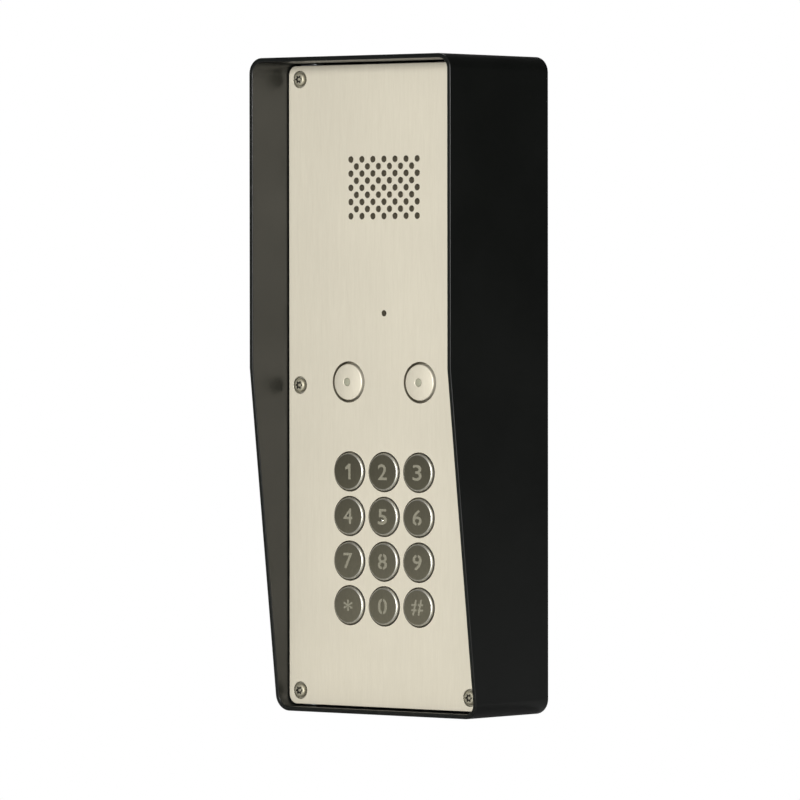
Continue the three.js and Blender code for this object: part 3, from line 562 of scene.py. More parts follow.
# Frontal placing: circles and grids are made flat, then stood up to face -Y
def stoodUp(x, y, z):
    return Matrix.Translation((x, y, z)) @ Matrix.Rotation(pi / 2, 4, "X")


def circleLoop(bm, x, z, radius, y, sides=32):
    made = bmesh.ops.create_circle(bm, cap_ends=False, radius=radius, segments=sides, matrix=stoodUp(x, y, z))
    return loopOf(made["verts"], x, z, radius, radius)


# Rectangle with round corners; chosen says which corners, from their signs, and all are round without it
def roundedLoop(bm, x, z, halfX, halfZ, corner, y, steps=8, chosen=None):
    made = bmesh.ops.create_grid(bm, x_segments=1, y_segments=1, size=1)
    bmesh.ops.scale(bm, vec=(halfX, halfZ, 1), verts=made["verts"])
    before = set(bm.verts) - set(made["verts"])
    picked = [v for v in made["verts"] if chosen is None or chosen(v.co.x, v.co.y)]
    bmesh.ops.bevel(bm, geom=picked, offset=corner, offset_type="ABSOLUTE", segments=steps,
                    profile=0.5, affect="VERTICES", material=-1)
    verts = [v for v in bm.verts if v not in before]
    faces = list({f for v in verts for f in v.link_faces})
    bmesh.ops.delete(bm, geom=faces, context="FACES_ONLY")
    bmesh.ops.transform(bm, matrix=stoodUp(x, y, z), verts=verts)
    return loopOf(verts, x, z, halfX, halfZ)


def stepLoop(bm, loop, inset, y, finishIndex=0):
    made = bmesh.ops.extrude_edge_only(bm, edges=loop["edges"])["geom"]
    for wall in made:
        if isinstance(wall, bmesh.types.BMFace):
            wall.material_index = finishIndex
    verts = [g for g in made if isinstance(g, bmesh.types.BMVert)]
    halfX, halfZ = loop["halfX"] - inset, loop["halfZ"] - inset
    bmesh.ops.scale(bm, vec=(halfX / loop["halfX"], 1, halfZ / loop["halfZ"]),
                    space=Matrix.Translation((-loop["x"], 0, -loop["z"])), verts=verts)
    bmesh.ops.translate(bm, vec=(0, y - verts[0].co.y, 0), verts=verts)
    return loopOf(verts, loop["x"], loop["z"], halfX, halfZ)


def followSteps(bm, loop, steps, finishIndex=0):
    for inset, y in steps:
        loop = stepLoop(bm, loop, inset, y, finishIndex)
    return loop


def fillLoops(bm, loops):
    bmesh.ops.triangle_fill(bm, use_beauty=True, use_dissolve=False,
                            edges=[e for loop in loops for e in loop["edges"]])


# Steps down a wall from a loop on the front face, with both rims rounded.
# An outline's loop starts inset by the rounding, an opening's loop starts wider by it.
def wallSteps(front, rear, rounding, opening=False):
    side = -1 if opening else 1
    start = rounding * (1 - sin(pi / 4))
    return [
        (side * (start - rounding), front + start), (-side * start, front + rounding),
        (0, rear - rounding), (side * start, rear - start), (side * (rounding - start), rear),
    ]


# A flat part with openings: the outline's loop and the openings' loops, from front to rear.
# A loop that something stands on, or that is a blind hole, is on one face only.
def sheetSolid(bm, outline, openings, rearOnly=(), frontOnly=()):
    walls = [outline, *openings]
    fillLoops(bm, [wall[0] for wall in walls] + list(frontOnly))
    ends = [followSteps(bm, *wall) for wall in walls]
    fillLoops(bm, ends + list(rearOnly))


def roundSheet(bm, halfX, halfZ, corner, front, rear, rounding, bores=(), x=0, z=0, windows=()):
    outline = roundedLoop(bm, x, z, halfX - rounding, halfZ - rounding, max(corner - rounding, 0.2), front)
    openings = []
    for boreX, boreZ, radius in bores:
        openings.append((circleLoop(bm, boreX, boreZ, radius + rounding, front),
                         wallSteps(front, rear, rounding, True)))
    for windowX, windowZ, windowHalfX, windowHalfZ, windowCorner in windows:
        openings.append((roundedLoop(bm, windowX, windowZ, windowHalfX + rounding, windowHalfZ + rounding,
                                     windowCorner + rounding, front), wallSteps(front, rear, rounding, True)))
    sheetSolid(bm, (outline, wallSteps(front, rear, rounding)), openings)


# Turned part from [radius, depth] pairs; closed joins the last pair to the first
def turnProfile(bm, profile, x=0, z=0, steps=48, closed=False):
    verts = [bm.verts.new((x + radius, -depth, z)) for radius, depth in profile]
    pairs = list(zip(verts, verts[1:])) + ([(verts[-1], verts[0])] if closed else [])
    edges = [bm.edges.new(pair) for pair in pairs]
    made = bmesh.ops.spin(bm, geom=verts + edges, cent=(x, 0, z), axis=(0, 1, 0), angle=2 * pi,
                          steps=steps, use_merge=True, use_duplicate=False)
    bmesh.ops.remove_doubles(bm, verts=bm.verts, dist=1e-4)
    return made


def bevelSharp(bm, width, segments=2, limit=40):
    bmesh.ops.recalc_face_normals(bm, faces=bm.faces)
    edges = [e for e in bm.edges if len(e.link_faces) == 2 and e.calc_face_angle(0) > radians(limit)]
    bmesh.ops.bevel(bm, geom=edges, offset=width, offset_type="OFFSET", segments=segments, profile=0.5,
                    affect="EDGES", material=-1, clamp_overlap=True)


def boxSolid(bm, x, y, z, sizeX, sizeY, sizeZ):
    size = Matrix.Diagonal((sizeX, sizeY, sizeZ, 1))
    return bmesh.ops.create_cube(bm, size=1, matrix=Matrix.Translation((x, y, z)) @ size)["verts"]


def addPiece(bm, name, finish, body="panel", stands=(), smoothAt=50):
    bmesh.ops.remove_doubles(bm, verts=bm.verts, dist=1e-4)
    bmesh.ops.recalc_face_normals(bm, faces=bm.faces)
    bmesh.ops.scale(bm, vec=(toMetres, toMetres, toMetres), verts=bm.verts)
    for face in bm.faces:
        face.smooth = abs(face.normal.y) < 0.99999
    mesh = bpy.data.meshes.new(name)
    bm.to_mesh(mesh)
    bm.free()
    mesh.set_sharp_from_angle(angle=radians(smoothAt))
    piece = bpy.data.objects.new(name, mesh)
    scene.collection.objects.link(piece)
    mesh.materials.append(finishes[finish])
    even = piece.modifiers.new("even_shading", "WEIGHTED_NORMAL")
    even.keep_sharp = True
    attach(piece, body)
    if stands:
        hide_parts(*stands)
    return piece


hoodShape = {"corner": 7, "wall": 2, "slopeTop": 8, "toeDepth": 51.5, "rim": 0.4}


# Faces between two rings of edges round the middle, paired in order of their angle
def joinRings(bm, edges):
    left = set(edges)
    rings = []
    while left:
        ring = [left.pop()]
        for edge in ring:
            beside = {e for v in edge.verts for e in v.link_edges if e in left}
            ring += beside
            left -= beside
        verts = {v for e in ring for v in e.verts}
        rings.append(sorted(verts, key=lambda v: atan2(v.co.z, v.co.x)))
    first, second = rings
    for i in range(len(first)):
        bm.faces.new((first[i - 1], first[i], second[i], second[i - 1]))


def makeHood():
    low, high = millimetres("hood")
    bm = bmesh.new()
    for inset in (0, hoodShape["wall"]):
        skin = roundedLoop(bm, 0, 0, high.x - inset, high.z - inset, hoodShape["corner"] - inset, 0, 12)
        stepLoop(bm, skin, 0, low.y)
    run = -hoodShape["toeDepth"] - low.y  # how far the front edge steps back by the toe
    drop = hoodShape["slopeTop"] - low.z
    bmesh.ops.bisect_plane(bm, geom=bm.verts[:] + bm.edges[:] + bm.faces[:], dist=1e-4, clear_outer=True,
                           plane_co=(0, low.y, hoodShape["slopeTop"]), plane_no=(0, -drop, -run))
    rims = [e for e in bm.edges if len(e.link_faces) == 1]
    rear = [e for e in rims if max(abs(v.co.y) for v in e.verts) < 0.01]
    joinRings(bm, rear)
    joinRings(bm, [e for e in rims if e not in set(rear)])
    bevelSharp(bm, hoodShape["rim"], 3, 50)
    addPiece(bm, "hood_sleeve", "black_powder_coat", stands=["hood"])


backShape = {"corner": 4.7, "wallHole": 2.5, "wallHoleX": 36, "wallHoleZ": 127.5, "entryRadius": 10,
             "rim": 0.3}


def makeBackPlate():
    low, high = millimetres("back_plate")
    entry = middle("cable_grommet")
    bores = [(sx * backShape["wallHoleX"], sz * backShape["wallHoleZ"], backShape["wallHole"])
             for sx in (-1, 1) for sz in (-1, 1)]
    bores.append((entry.x, entry.z, backShape["entryRadius"]))
    bm = bmesh.new()
    roundSheet(bm, high.x, high.z, backShape["corner"], low.y, high.y, backShape["rim"], bores)
    addPiece(bm, "back_sheet", "black_powder_coat", stands=["back_plate"])


grommetShape = {"bore": 5.5, "lip": 0.6, "flangeOut": 3.3, "flangeDepth": 2.7, "flangeEdge": 1.2,
                "taper": 1.4,
                "mouthOuter": 1.6, "mouthInner": 1.2, "rim": 0.3}


def makeGrommet():
    low, high = millimetres("cable_grommet")
    place = middle("cable_grommet")
    flange = high.x - place.x
    sleeve = flange - grommetShape["flangeOut"]
    back, front = -high.y, -low.y
    step = front - grommetShape["flangeDepth"]
    bore, lip = grommetShape["bore"], front - grommetShape["lip"]
    bm = bmesh.new()
    turnProfile(bm, [
        (bore, back), (sleeve, back), (sleeve, step), (flange, step),
        (flange, step + grommetShape["flangeEdge"]),
        (flange - grommetShape["taper"], front), (bore + grommetShape["mouthOuter"], front),
        (bore + grommetShape["mouthInner"], lip), (bore, lip),
    ], place.x, place.z, 64, True)
    bevelSharp(bm, grommetShape["rim"], 3, 25)
    addPiece(bm, "entry_grommet", "black_rubber", stands=["cable_grommet"])


makeHood()
makeBackPlate()
makeGrommet()
print("housing made")

plateShape = {
    "corner": 4.5, "thickness": 3, "rim": 0.3, "holeRim": 0.12,
    "grillePitch": 6.38, "grilleRows": 9, "grilleColumns": 7, "grilleHole": 1.4, "grilleTop": 55.5,
    "micHole": 1.3, "keyHole": 9, "callHole": 9.2,
    "counterbore": 3.9, "counterboreDepth": 1.5, "screwBore": 1.8,
    "stud": 1.5, "studPitch": 0.5, "studCut": 0.14,
}
keyNames = [f"key_{mark}" for mark in "123456789"] + ["key_star", "key_0", "key_hash"]
screwNames = [f"faceplate_screw_{level}_{hand}" for level in ("top", "middle", "bottom")
              for hand in ("left", "right")]


studShape = {"frameInset": 2.85, "boardSpace": 1.9, "earRadius": 3.4, "earThickness": 2.5, "clampInset": 4,
             "out": 4,
             "end": 0.25}


# Welded studs as (x, z, depth of what the nut bears on): keypad corners, switch ears, clamp ears
def studPlaces():
    studs = []
    low, high = millimetres("keypad_frame")
    inset = studShape["frameInset"]
    rear = -high.y - studShape["boardSpace"]  # the keypad board and its gap lie behind the frame
    for x in (low.x + inset, high.x - inset):
        for z in (low.z + inset, high.z - inset):
            studs.append((x, z, rear))
    for hand in ("left", "right"):
        low, high = millimetres(f"call_switch_{hand}")
        for z in (low.z + studShape["earRadius"], high.z - studShape["earRadius"]):
            studs.append(((low.x + high.x) / 2, z, -low.y - studShape["earThickness"]))
    low, high = millimetres("speaker_clamp")
    for x in (low.x + studShape["clampInset"], high.x - studShape["clampInset"]):
        studs.append((x, (low.z + high.z) / 2, -high.y))
    return studs


def makeFaceplate():
    low, high = millimetres("faceplate")
    front = low.y
    rear = front + plateShape["thickness"]
    rim, holeRim = plateShape["rim"], plateShape["holeRim"]
    bm = bmesh.new()
    outline = roundedLoop(bm, 0, 0, high.x - rim, high.z - rim, plateShape["corner"] - rim, front, 10)
    openings = []

    def addBore(x, z, radius, sides, finishIndex=0):
        openings.append((circleLoop(bm, x, z, radius + holeRim, front, sides),
                         wallSteps(front, rear, holeRim, True), finishIndex))

    grilleZ = high.z - plateShape["grilleTop"]
    for row in range(plateShape["grilleRows"]):
        count = plateShape["grilleColumns"] - row % 2
        for i in range(count):
            addBore((i - (count - 1) / 2) * plateShape["grillePitch"],
                    grilleZ + ((plateShape["grilleRows"] - 1) / 2 - row) * plateShape["grillePitch"] / 2,
                    plateShape["grilleHole"], 20, 1)
    mic = middle("microphone")
    addBore(mic.x, mic.z, plateShape["micHole"], 24, 1)
    for name in keyNames:
        place = middle(name)
        addBore(place.x, place.z, plateShape["keyHole"], 64, 1)
    for hand in ("left", "right"):
        place = middle(f"call_button_{hand}")
        addBore(place.x, place.z, plateShape["callHole"], 64, 1)
    for name in screwNames:
        place = middle(name)
        loop = circleLoop(bm, place.x, place.z, plateShape["counterbore"] + holeRim, front, 40)
        floor = front + plateShape["counterboreDepth"]
        start = holeRim * (1 - sin(pi / 4))
        openings.append((loop, [
            (holeRim - start, front + start), (start, front + holeRim), (0, floor),
            (plateShape["counterbore"] - plateShape["screwBore"], floor), (0, rear - holeRim),
            (-holeRim, rear),
        ], 2))

    studLoops = []
    pitch, cut = plateShape["studPitch"], plateShape["studCut"]
    for x, z, seatDepth in studPlaces():
        loop = circleLoop(bm, x, z, plateShape["stud"], rear, 20)
        studLoops.append(loop)
        steps = [(0, -seatDepth)]
        for turn in range(int(studShape["out"] / pitch) - 1):
            at = -seatDepth + turn * pitch
            steps += [(cut, at + pitch / 2), (-cut, at + pitch)]
        end = -seatDepth + studShape["out"]
        point = studShape["end"]
        fillLoops(bm, [followSteps(bm, loop, [*steps, (0, end - point), (point, end)])])
    sheetSolid(bm, (outline, wallSteps(front, rear, rim)), openings, studLoops)
    sheet = addPiece(bm, "faceplate_sheet", "brushed_stainless", stands=["faceplate"])
    # The hole walls take the second finish, partly painted shade, and the counterbores the third, with
    # painted shade in their corners
    sheet.data.materials.append(finishes["cut_metal_and_shade"])
    sheet.data.materials.append(finishes["bore_steel"])


screwShape = {"head": 2.95, "shank": 1.5, "socket": 1.95, "lobes": 6, "lobeDip": 0.34, "socketDepth": 1.15,
              "pin": 0.7,
              "pinTop": 0.3, "pinRim": 0.1, "pitch": 0.5, "cut": 0.16, "point": 0.7, "lead": 0.4, "neck": 0.5,
              "plain": 1.2, "sides": 48, "lip": 0.14, "side": 0.42}


# Button head on a threaded shank, with a lobed socket and a pin in it
def screwInto(bm, x, z, top, headRadius, headHeight, length, pinned=False):
    shape = screwShape
    under = top - headHeight
    size = headRadius / shape["head"]
    socket, shank = shape["socket"] * size, shape["shank"] * min(size, 1)
    profile = [(0, under - length), (shank * shape["point"], under - length)]
    for turn in range(int((length - shape["plain"]) / shape["pitch"])):
        at = under - length + shape["lead"] + turn * shape["pitch"]
        profile += [(shank, at), (shank - shape["cut"], at + shape["pitch"] / 2)]
    shoulder = under + headHeight * shape["side"]
    profile += [(shank, under - shape["neck"]), (shank, under), (headRadius, under), (headRadius, shoulder)]
    flat = socket + shape["lip"]
    for i in range(1, 9):
        turn = i / 8 * pi / 2
        profile.append((flat + (headRadius - flat) * cos(turn), shoulder + (top - shoulder) * sin(turn)))
    before = set(bm.verts)
    turnProfile(bm, profile, x, z, shape["sides"])
    rim = [v for v in bm.verts if v not in before and v.is_boundary]
    lobes = stepLoop(bm, loopOf(rim, x, z, flat, flat), shape["lip"], -top)
    for vert in lobes["verts"]:
        offset = vert.co - Vector((x, vert.co.y, z))
        dip = shape["lobeDip"] * (0.5 - 0.5 * cos(shape["lobes"] * Vector((1, 0, 0)).angle(offset)))
        bmesh.ops.scale(bm, vec=(1 - dip, 1, 1 - dip), space=Matrix.Translation((-x, 0, -z)), verts=[vert])
    floorDepth = top - shape["socketDepth"] * size
    floor = [stepLoop(bm, lobes, 0, -floorDepth)]
    if pinned:
        pin = circleLoop(bm, x, z, shape["pin"], -floorDepth, 20)
        pinTop = top - shape["pinTop"]
        rim = shape["pinRim"]
        fillLoops(bm, [followSteps(bm, pin, [(0, rim - pinTop), (rim, -pinTop)])])
        floor.append(pin)
    fillLoops(bm, floor)


# Painted shade: the socket's walls and floor round its pin take a near-black finish
def paintSocketShade(screw, x, z, top):
    screw.data.materials.append(finishes["painted_socket_shade"])
    reach = screwShape["socket"] + screwShape["lip"]
    for face in screw.data.polygons:
        spot = face.center / toMetres
        fromAxis = Vector((spot.x - x, spot.z - z)).length
        inSocket = top - screwShape["socketDepth"] - 0.02 < -spot.y < top - 0.05
        if inSocket and screwShape["pin"] + 0.02 < fromAxis < reach:
            face.material_index = 1


def makeScrew(name, newName, headHeight, length, pinned=False):
    low, high = millimetres(name)
    bm = bmesh.new()
    screwInto(bm, (low.x + high.x) / 2, (low.z + high.z) / 2, -low.y, (high.x - low.x) / 2, headHeight,
              length, pinned)
    screw = addPiece(bm, newName, "screw_steel", stands=[name], smoothAt=38)
    if pinned:
        paintSocketShade(screw, (low.x + high.x) / 2, (low.z + high.z) / 2, -low.y)


makeFaceplate()
for screwName in screwNames:
    makeScrew(screwName, screwName.replace("faceplate_screw", "security_screw"), 2.2, 8, True)
print("faceplate made")

legendShape = {
    "height": 7.1, "width": 5.2, "inlay": 0.4, "proud": 0.03, "bold": 0.011, "gap": 0.75,
    "stem": 1.25, "flagReach": 1.75, "flagDrop": 1.55, "flagThick": 1.2,
    "flagLean": 0.15, "flagUnder": 0.9, "flagLift": 0.35, "drawnSize": 10,
    "pipRadius": 0.95, "pipHeight": 0.8, "pipDrop": 1.6,
}
legendMarks = {"key_star": "*", "key_hash": "#"}
# Stencil bridges as (mark, from height, to height), as shares of the mark's height from its foot
legendCuts = {"0": [(-0.1, 1.1)], "8": [(-0.1, 0.3), (0.72, 1.1)], "6": [(-0.1, 0.3)], "9": [(0.72, 1.1)],
              "#": [(-0.1, 1.1)]}


# Painted shade: the flat faces at one depth, the skirt seen down the gap round the cap, take the second,
# darker finish
def paintSkirtShade(piece, depth):
    piece.data.materials.append(finishes["cut_metal_and_shade"])
    for face in piece.data.polygons:
        if abs(-face.center.y / toMetres - depth) < 0.05 and abs(face.normal.y) > 0.9:
            face.material_index = 1


def crownSteps(radius, inner, edge, top, count):
    steps = []
    for i in range(count + 1):
        reach = radius - (radius - inner) * i / count
        steps.append((reach, edge + (top - edge) * (1 - (reach / radius) ** 2)))
    return steps


def makeKey(name):
    low, high = millimetres(name)
    place = middle(name)
    top, rear = -low.y, -high.y
    shelf = rear + keyShape["flangeThickness"]
    radius, rim = keyShape["radius"], keyShape["rim"]
    edge = top - keyShape["crown"]
    profile = [(0, rear), (keyShape["flange"], rear), (keyShape["flange"], shelf), (radius, shelf)]
    for i in range(9):
        turn = i / 8 * pi / 2
        profile.append((radius - rim + rim * cos(turn), edge - rim + rim * sin(turn)))
    profile += crownSteps(radius - rim, 0, edge, top, keyShape["crownSteps"])[1:]
    bm = bmesh.new()
    turnProfile(bm, profile, place.x, place.z, keyShape["sides"])
    paintSkirtShade(addPiece(bm, f"{name}_cap", "key_face", name, [name]), shelf)


def textMesh(mark):
    curve = bpy.data.curves.new("mark", "FONT")
    curve.body = mark
    curve.size = legendShape["drawnSize"]
    curve.offset = legendShape["bold"] * legendShape["drawnSize"]
    curve.resolution_u = 6
    writer = bpy.data.objects.new("mark", curve)
    scene.collection.objects.link(writer)
    bpy.context.view_layer.update()
    mesh = bpy.data.meshes.new_from_object(writer.evaluated_get(bpy.context.evaluated_depsgraph_get()))
    bpy.data.objects.remove(writer)
    return mesh


# A one with a flag and no foot, drawn at its real size
def drawOne(bm):
    tall, stem, reach = legendShape["height"], legendShape["stem"], legendShape["flagReach"]
    drop, thick = legendShape["flagDrop"], legendShape["flagThick"]
    under = tall - legendShape["flagUnder"] * drop - thick + legendShape["flagLift"]
    corners = [(0, 0), (stem, 0), (stem, tall), (legendShape["flagLean"] * stem, tall), (-reach, tall - drop),
               (-reach, tall - drop - thick), (0, under)]
    bm.faces.new([bm.verts.new((x, y, 0)) for x, y in corners])


def makeLegend(name):
    mark = legendMarks.get(name, name[-1])
    place = middle(name)
    top = -millimetres(name)[0].y
    bm = bmesh.new()
    if mark == "1":
        drawOne(bm)
    else:
        mesh = textMesh(mark)
        bm.from_mesh(mesh)
        bpy.data.meshes.remove(mesh)
    bmesh.ops.remove_doubles(bm, verts=bm.verts, dist=1e-4)
    lowX, highX = min(v.co.x for v in bm.verts), max(v.co.x for v in bm.verts)
    lowY, highY = min(v.co.y for v in bm.verts), max(v.co.y for v in bm.verts)
    tall = {"*": 0.72}.get(mark, 1.0) * legendShape["height"]
    wide = {"1": 0.577, "#": 1.3, "*": 1.0}.get(mark, 1.0) * legendShape["width"]
    bmesh.ops.translate(bm, vec=(-(lowX + highX) / 2, -(lowY + highY) / 2, 0), verts=bm.verts)
    bmesh.ops.scale(bm, vec=(wide / (highX - lowX), tall / (highY - lowY), 1), verts=bm.verts)
    half = legendShape["gap"] / 2
    for startShare, endShare in legendCuts.get(mark, []):
        start, end = (startShare - 0.5) * tall, (endShare - 0.5) * tall
        for at, along in ((-half, (1, 0, 0)), (half, (1, 0, 0)), (start, (0, 1, 0)), (end, (0, 1, 0))):
            bmesh.ops.bisect_plane(bm, geom=bm.verts[:] + bm.edges[:] + bm.faces[:], dist=1e-5,
                                   plane_co=tuple(at * a for a in along), plane_no=along)
        inside = []
        for face in bm.faces:
            centre = face.calc_center_median()
            if abs(centre.x) < half and start < centre.y < end:
                inside.append(face)
        bmesh.ops.delete(bm, geom=inside, context="FACES")
    made = bmesh.ops.extrude_face_region(bm, geom=bm.faces[:])["geom"]
    bmesh.ops.translate(bm, vec=(0, 0, -legendShape["inlay"] - legendShape["proud"]),
                        verts=[g for g in made if isinstance(g, bmesh.types.BMVert)])
    bmesh.ops.transform(bm, matrix=stoodUp(place.x, -top - legendShape["proud"], place.z), verts=bm.verts)
    addPiece(bm, f"{name}_legend", "legend", name)


def makePip():
    place = middle("key_5")
    top = -millimetres("key_5")[0].y
    bm = bmesh.new()
    bmesh.ops.create_uvsphere(bm, u_segments=24, v_segments=12, radius=legendShape["pipRadius"],
                              matrix=stoodUp(place.x, -top, place.z - legendShape["pipDrop"]))
    bmesh.ops.scale(bm, vec=(1, legendShape["pipHeight"] / legendShape["pipRadius"], 1),
                    space=Matrix.Translation((0, top, 0)), verts=bm.verts)
    addPiece(bm, "key_5_pip", "key_steel", "key_5")


for keyName in keyNames:
    makeKey(keyName)
    makeLegend(keyName)
makePip()
print("keys made")

callShape = {"radius": 8.1, "rim": 0.4, "edgeProud": 0.4, "flange": 10.2, "flangeThickness": 1.2, "stem": 3.2,
             "bore": 1.76, "crownSteps": 10, "lens": 1.7, "lensRim": 0.12, "shelfGap": 0.3}


def makeCallButton(hand):
    name = f"call_button_{hand}"
    low, high = millimetres(name)
    place = middle(name)
    plateFront = -millimetres("faceplate")[0].y
    top, stemEnd = -low.y, -high.y
    shelf = plateFront - plateShape["thickness"] - callShape["shelfGap"]
    flangeRear = shelf - callShape["flangeThickness"]
    edge = plateFront + callShape["edgeProud"]
    crown = crownSteps(callShape["radius"], callShape["bore"], edge, top, callShape["crownSteps"])
    bm = bmesh.new()
    turnProfile(bm, [
        (callShape["bore"], stemEnd), (callShape["stem"], stemEnd), (callShape["stem"], flangeRear),
        (callShape["flange"], flangeRear), (callShape["flange"], shelf), (callShape["radius"], shelf), *crown,
    ], place.x, place.z, 72, True)
    bevelSharp(bm, callShape["rim"], 3)
    paintSkirtShade(addPiece(bm, f"{name}_cap", "brushed_stainless", name, [name]), shelf)

    lensName = f"call_lens_{hand}"
    low, high = millimetres(lensName)
    front, back = -low.y, -high.y
    lens, rim = callShape["lens"], callShape["lensRim"]
    bm = bmesh.new()
    turnProfile(bm, [(0, back), (lens, back), (lens, front - rim), (0, front)], place.x, place.z, 32)
    bevelSharp(bm, rim, 2)
    addPiece(bm, f"{lensName}_pipe", "light_pipe", name, [lensName])


for hand in ("left", "right"):
    makeCallButton(hand)
print("call buttons made")


def depths(node):
    low, high = millimetres(node)
    return -high.y, -low.y


def halves(node):
    low, high = millimetres(node)
    return (high.x - low.x) / 2, (high.z - low.z) / 2


# Block or sheet between two depths, with rounded rims
def slab(bm, x, z, halfX, halfZ, rear, front, corner=0.5, rim=0.2, bores=(), windows=()):
    roundSheet(bm, halfX, halfZ, corner, -front, -rear, rim, bores, x, z, windows)


def ring(bm, x, z, inner, outer, rear, front, rim=0.15, steps=72):
    turnProfile(bm, [
        (inner, rear + rim), (inner + rim, rear), (outer - rim, rear), (outer, rear + rim),
        (outer, front - rim), (outer - rim, front), (inner + rim, front), (inner, front - rim),
    ], x, z, steps, True)


# Flat ear with one round end and a bore for its stud
def ear(bm, x, z, halfX, halfZ, rear, front, boreX, boreZ, chosen):
    rim = 0.15
    outline = roundedLoop(bm, x, z, halfX - rim, halfZ - rim, min(halfX, halfZ) - rim - 0.02, -front, 8,
                          chosen)
    bore = circleLoop(bm, boreX, boreZ, plateShape["screwBore"] + rim, -front, 24)
    sheetSolid(bm, (outline, wallSteps(-front, -rear, rim)), [(bore, wallSteps(-front, -rear, rim, True))])


# Carries a loop along a route of matrices, and closes its two ends
def sweep(bm, loop, route):
    first = loop
    for before, after in zip(route, route[1:]):
        made = bmesh.ops.extrude_edge_only(bm, edges=loop["edges"])["geom"]
        verts = [g for g in made if isinstance(g, bmesh.types.BMVert)]
        bmesh.ops.transform(bm, matrix=after @ before.inverted(), verts=verts)
        loop = loopOf(verts, 0, 0, 1, 1)
    fillLoops(bm, [first])
    fillLoops(bm, [loop])


# Matrices along points, each turned the least from the one before
def routeAlong(points):
    ways = [(after - before).normalized() for before, after in zip(points, points[1:])]
    ways = [ways[0]] + [(a + b).normalized() for a, b in zip(ways, ways[1:])] + [ways[-1]]
    turn = ways[0].to_track_quat("Z", "Y").to_matrix()
    route = []
    for i, point in enumerate(points):
        if i:
            turn = ways[i - 1].rotation_difference(ways[i]).to_matrix() @ turn
        route.append(Matrix.Translation(point) @ turn.to_4x4())
    return route


# Smooth curve through knots of (x, depth, z), steps points to a span
def smoothPoints(knots, steps=8):
    knots = [Vector((x, -depth, z)) for x, depth, z in knots]
    padded = [2 * knots[0] - knots[1], *knots, 2 * knots[-1] - knots[-2]]
    points = [knots[0]]
    for a, b, c, d in zip(padded, padded[1:], padded[2:], padded[3:]):
        for i in range(1, steps + 1):
            t = i / steps
            points.append(0.5 * ((2 * b) + (c - a) * t + (2 * a - 5 * b + 4 * c - d) * t ** 2
                                 + (3 * b - a - 3 * c + d) * t ** 3))
    return points


def roundWire(bm, points, radius, sides=12):
    route = routeAlong(points)
    made = bmesh.ops.create_circle(bm, cap_ends=False, radius=radius, segments=sides, matrix=route[0])
    sweep(bm, loopOf(made["verts"], 0, 0, 1, 1), route)


railShape = {"corner": 4.7, "rim": 0.3}


def makeRail(hand, side):
    name = f"fixing_rail_{hand}"
    place, (halfX, halfZ), (rear, front) = middle(name), halves(name), depths(name)
    rim = railShape["rim"]
    bm = bmesh.new()
    outline = roundedLoop(bm, place.x, place.z, halfX - rim, halfZ - rim, railShape["corner"] - rim,
                          -front, 8, lambda x, z: x * side > 0)
    openings = []
    for level in ("top", "middle", "bottom"):
        screw = middle(f"faceplate_screw_{level}_{hand}")
        loop = circleLoop(bm, screw.x, screw.z, plateShape["screwBore"] + rim, -front, 24)
        openings.append((loop, wallSteps(-front, -rear, rim, True)))
    sheetSolid(bm, (outline, wallSteps(-front, -rear, rim)), openings)
    addPiece(bm, f"tapped_rail_{hand}", "zinc_steel", stands=[name])


gasketShape = {"corner": 4.2, "width": 12, "inner": 2, "rim": 0.3}


def makeGasket():
    (halfX, halfZ), (rear, front) = halves("faceplate_gasket"), depths("faceplate_gasket")
    width = gasketShape["width"]
    bores = [(middle(name).x, middle(name).z, plateShape["screwBore"]) for name in screwNames]
    bm = bmesh.new()
    slab(bm, 0, 0, halfX, halfZ, rear, front, gasketShape["corner"], gasketShape["rim"], bores,
         [(0, 0, halfX - width, halfZ - width, gasketShape["inner"])])
    addPiece(bm, "plate_gasket", "black_rubber", stands=["faceplate_gasket"])


makeRail("left", -1)
makeRail("right", 1)
makeGasket()
print("rails and gasket made")

keypadShape = {
    "corner": 2.5, "wall": 5.7, "innerCorner": 1.5, "board": 1.6, "seat": 0.3, "matBase": 1.2,
    "headerX": 9, "headerZ": 3, "headerHeight": 5, "headerInset": 8, "travel": 1, "domeSink": 0.1,
    "contactOut": 0.55, "contactShift": 0.5, "barPitch": 1.9, "barSize": (0.7, 0.12, 4.6),
    "trackInner": 3.9, "trackOuter": 4.3,
    "resistorColumns": 6, "resistorRows": 4, "resistorPitchX": 9, "resistorPitchZ": 14, "resistorDrop": 3,
    "resistorSize": (1.6, 0.6, 0.8), "resistorDepth": 0.28, "resistorRim": 0.08,
}
# A dome's half section as (radius, share of its height)
domeProfile = [(6.0, 0.0), (5.86, 0.06), (5.55, 0.16), (5.0, 0.42), (4.55, 0.72), (4.42, 0.86), (4.25, 0.96),
               (4.05, 1.0)]


headerShape = {"wall": 0.8, "floor": 1.2, "fit": 0.1, "plugOut": 0.25}


# Shrouded header with its plug in it; the floor lies on the board, at the rear when towards is 1
def makeHeader(name, x, z, halfX, halfZ, rear, front, towards=1):
    wall, floor, fit, out = (headerShape[key] for key in ("wall", "floor", "fit", "plugOut"))
    bm = bmesh.new()
    slab(bm, x, z, halfX, halfZ, rear, front, 0.4, 0.12, (), [(x, z, halfX - wall, halfZ - wall, 0.2)])
    start = rear if towards > 0 else front - floor
    slab(bm, x, z, halfX - wall / 2, halfZ - wall / 2, start, start + floor, 0.3, 0.1)
    addPiece(bm, f"{name}_shroud", "black_plastic")
    bm = bmesh.new()
    ends = (rear + floor + fit, front + out) if towards > 0 else (rear - out, front - floor - fit)
    slab(bm, x, z, halfX - wall - fit, halfZ - wall - fit, *ends, 0.3, 0.15)
    addPiece(bm, f"{name}_plug", "grey_silicone")


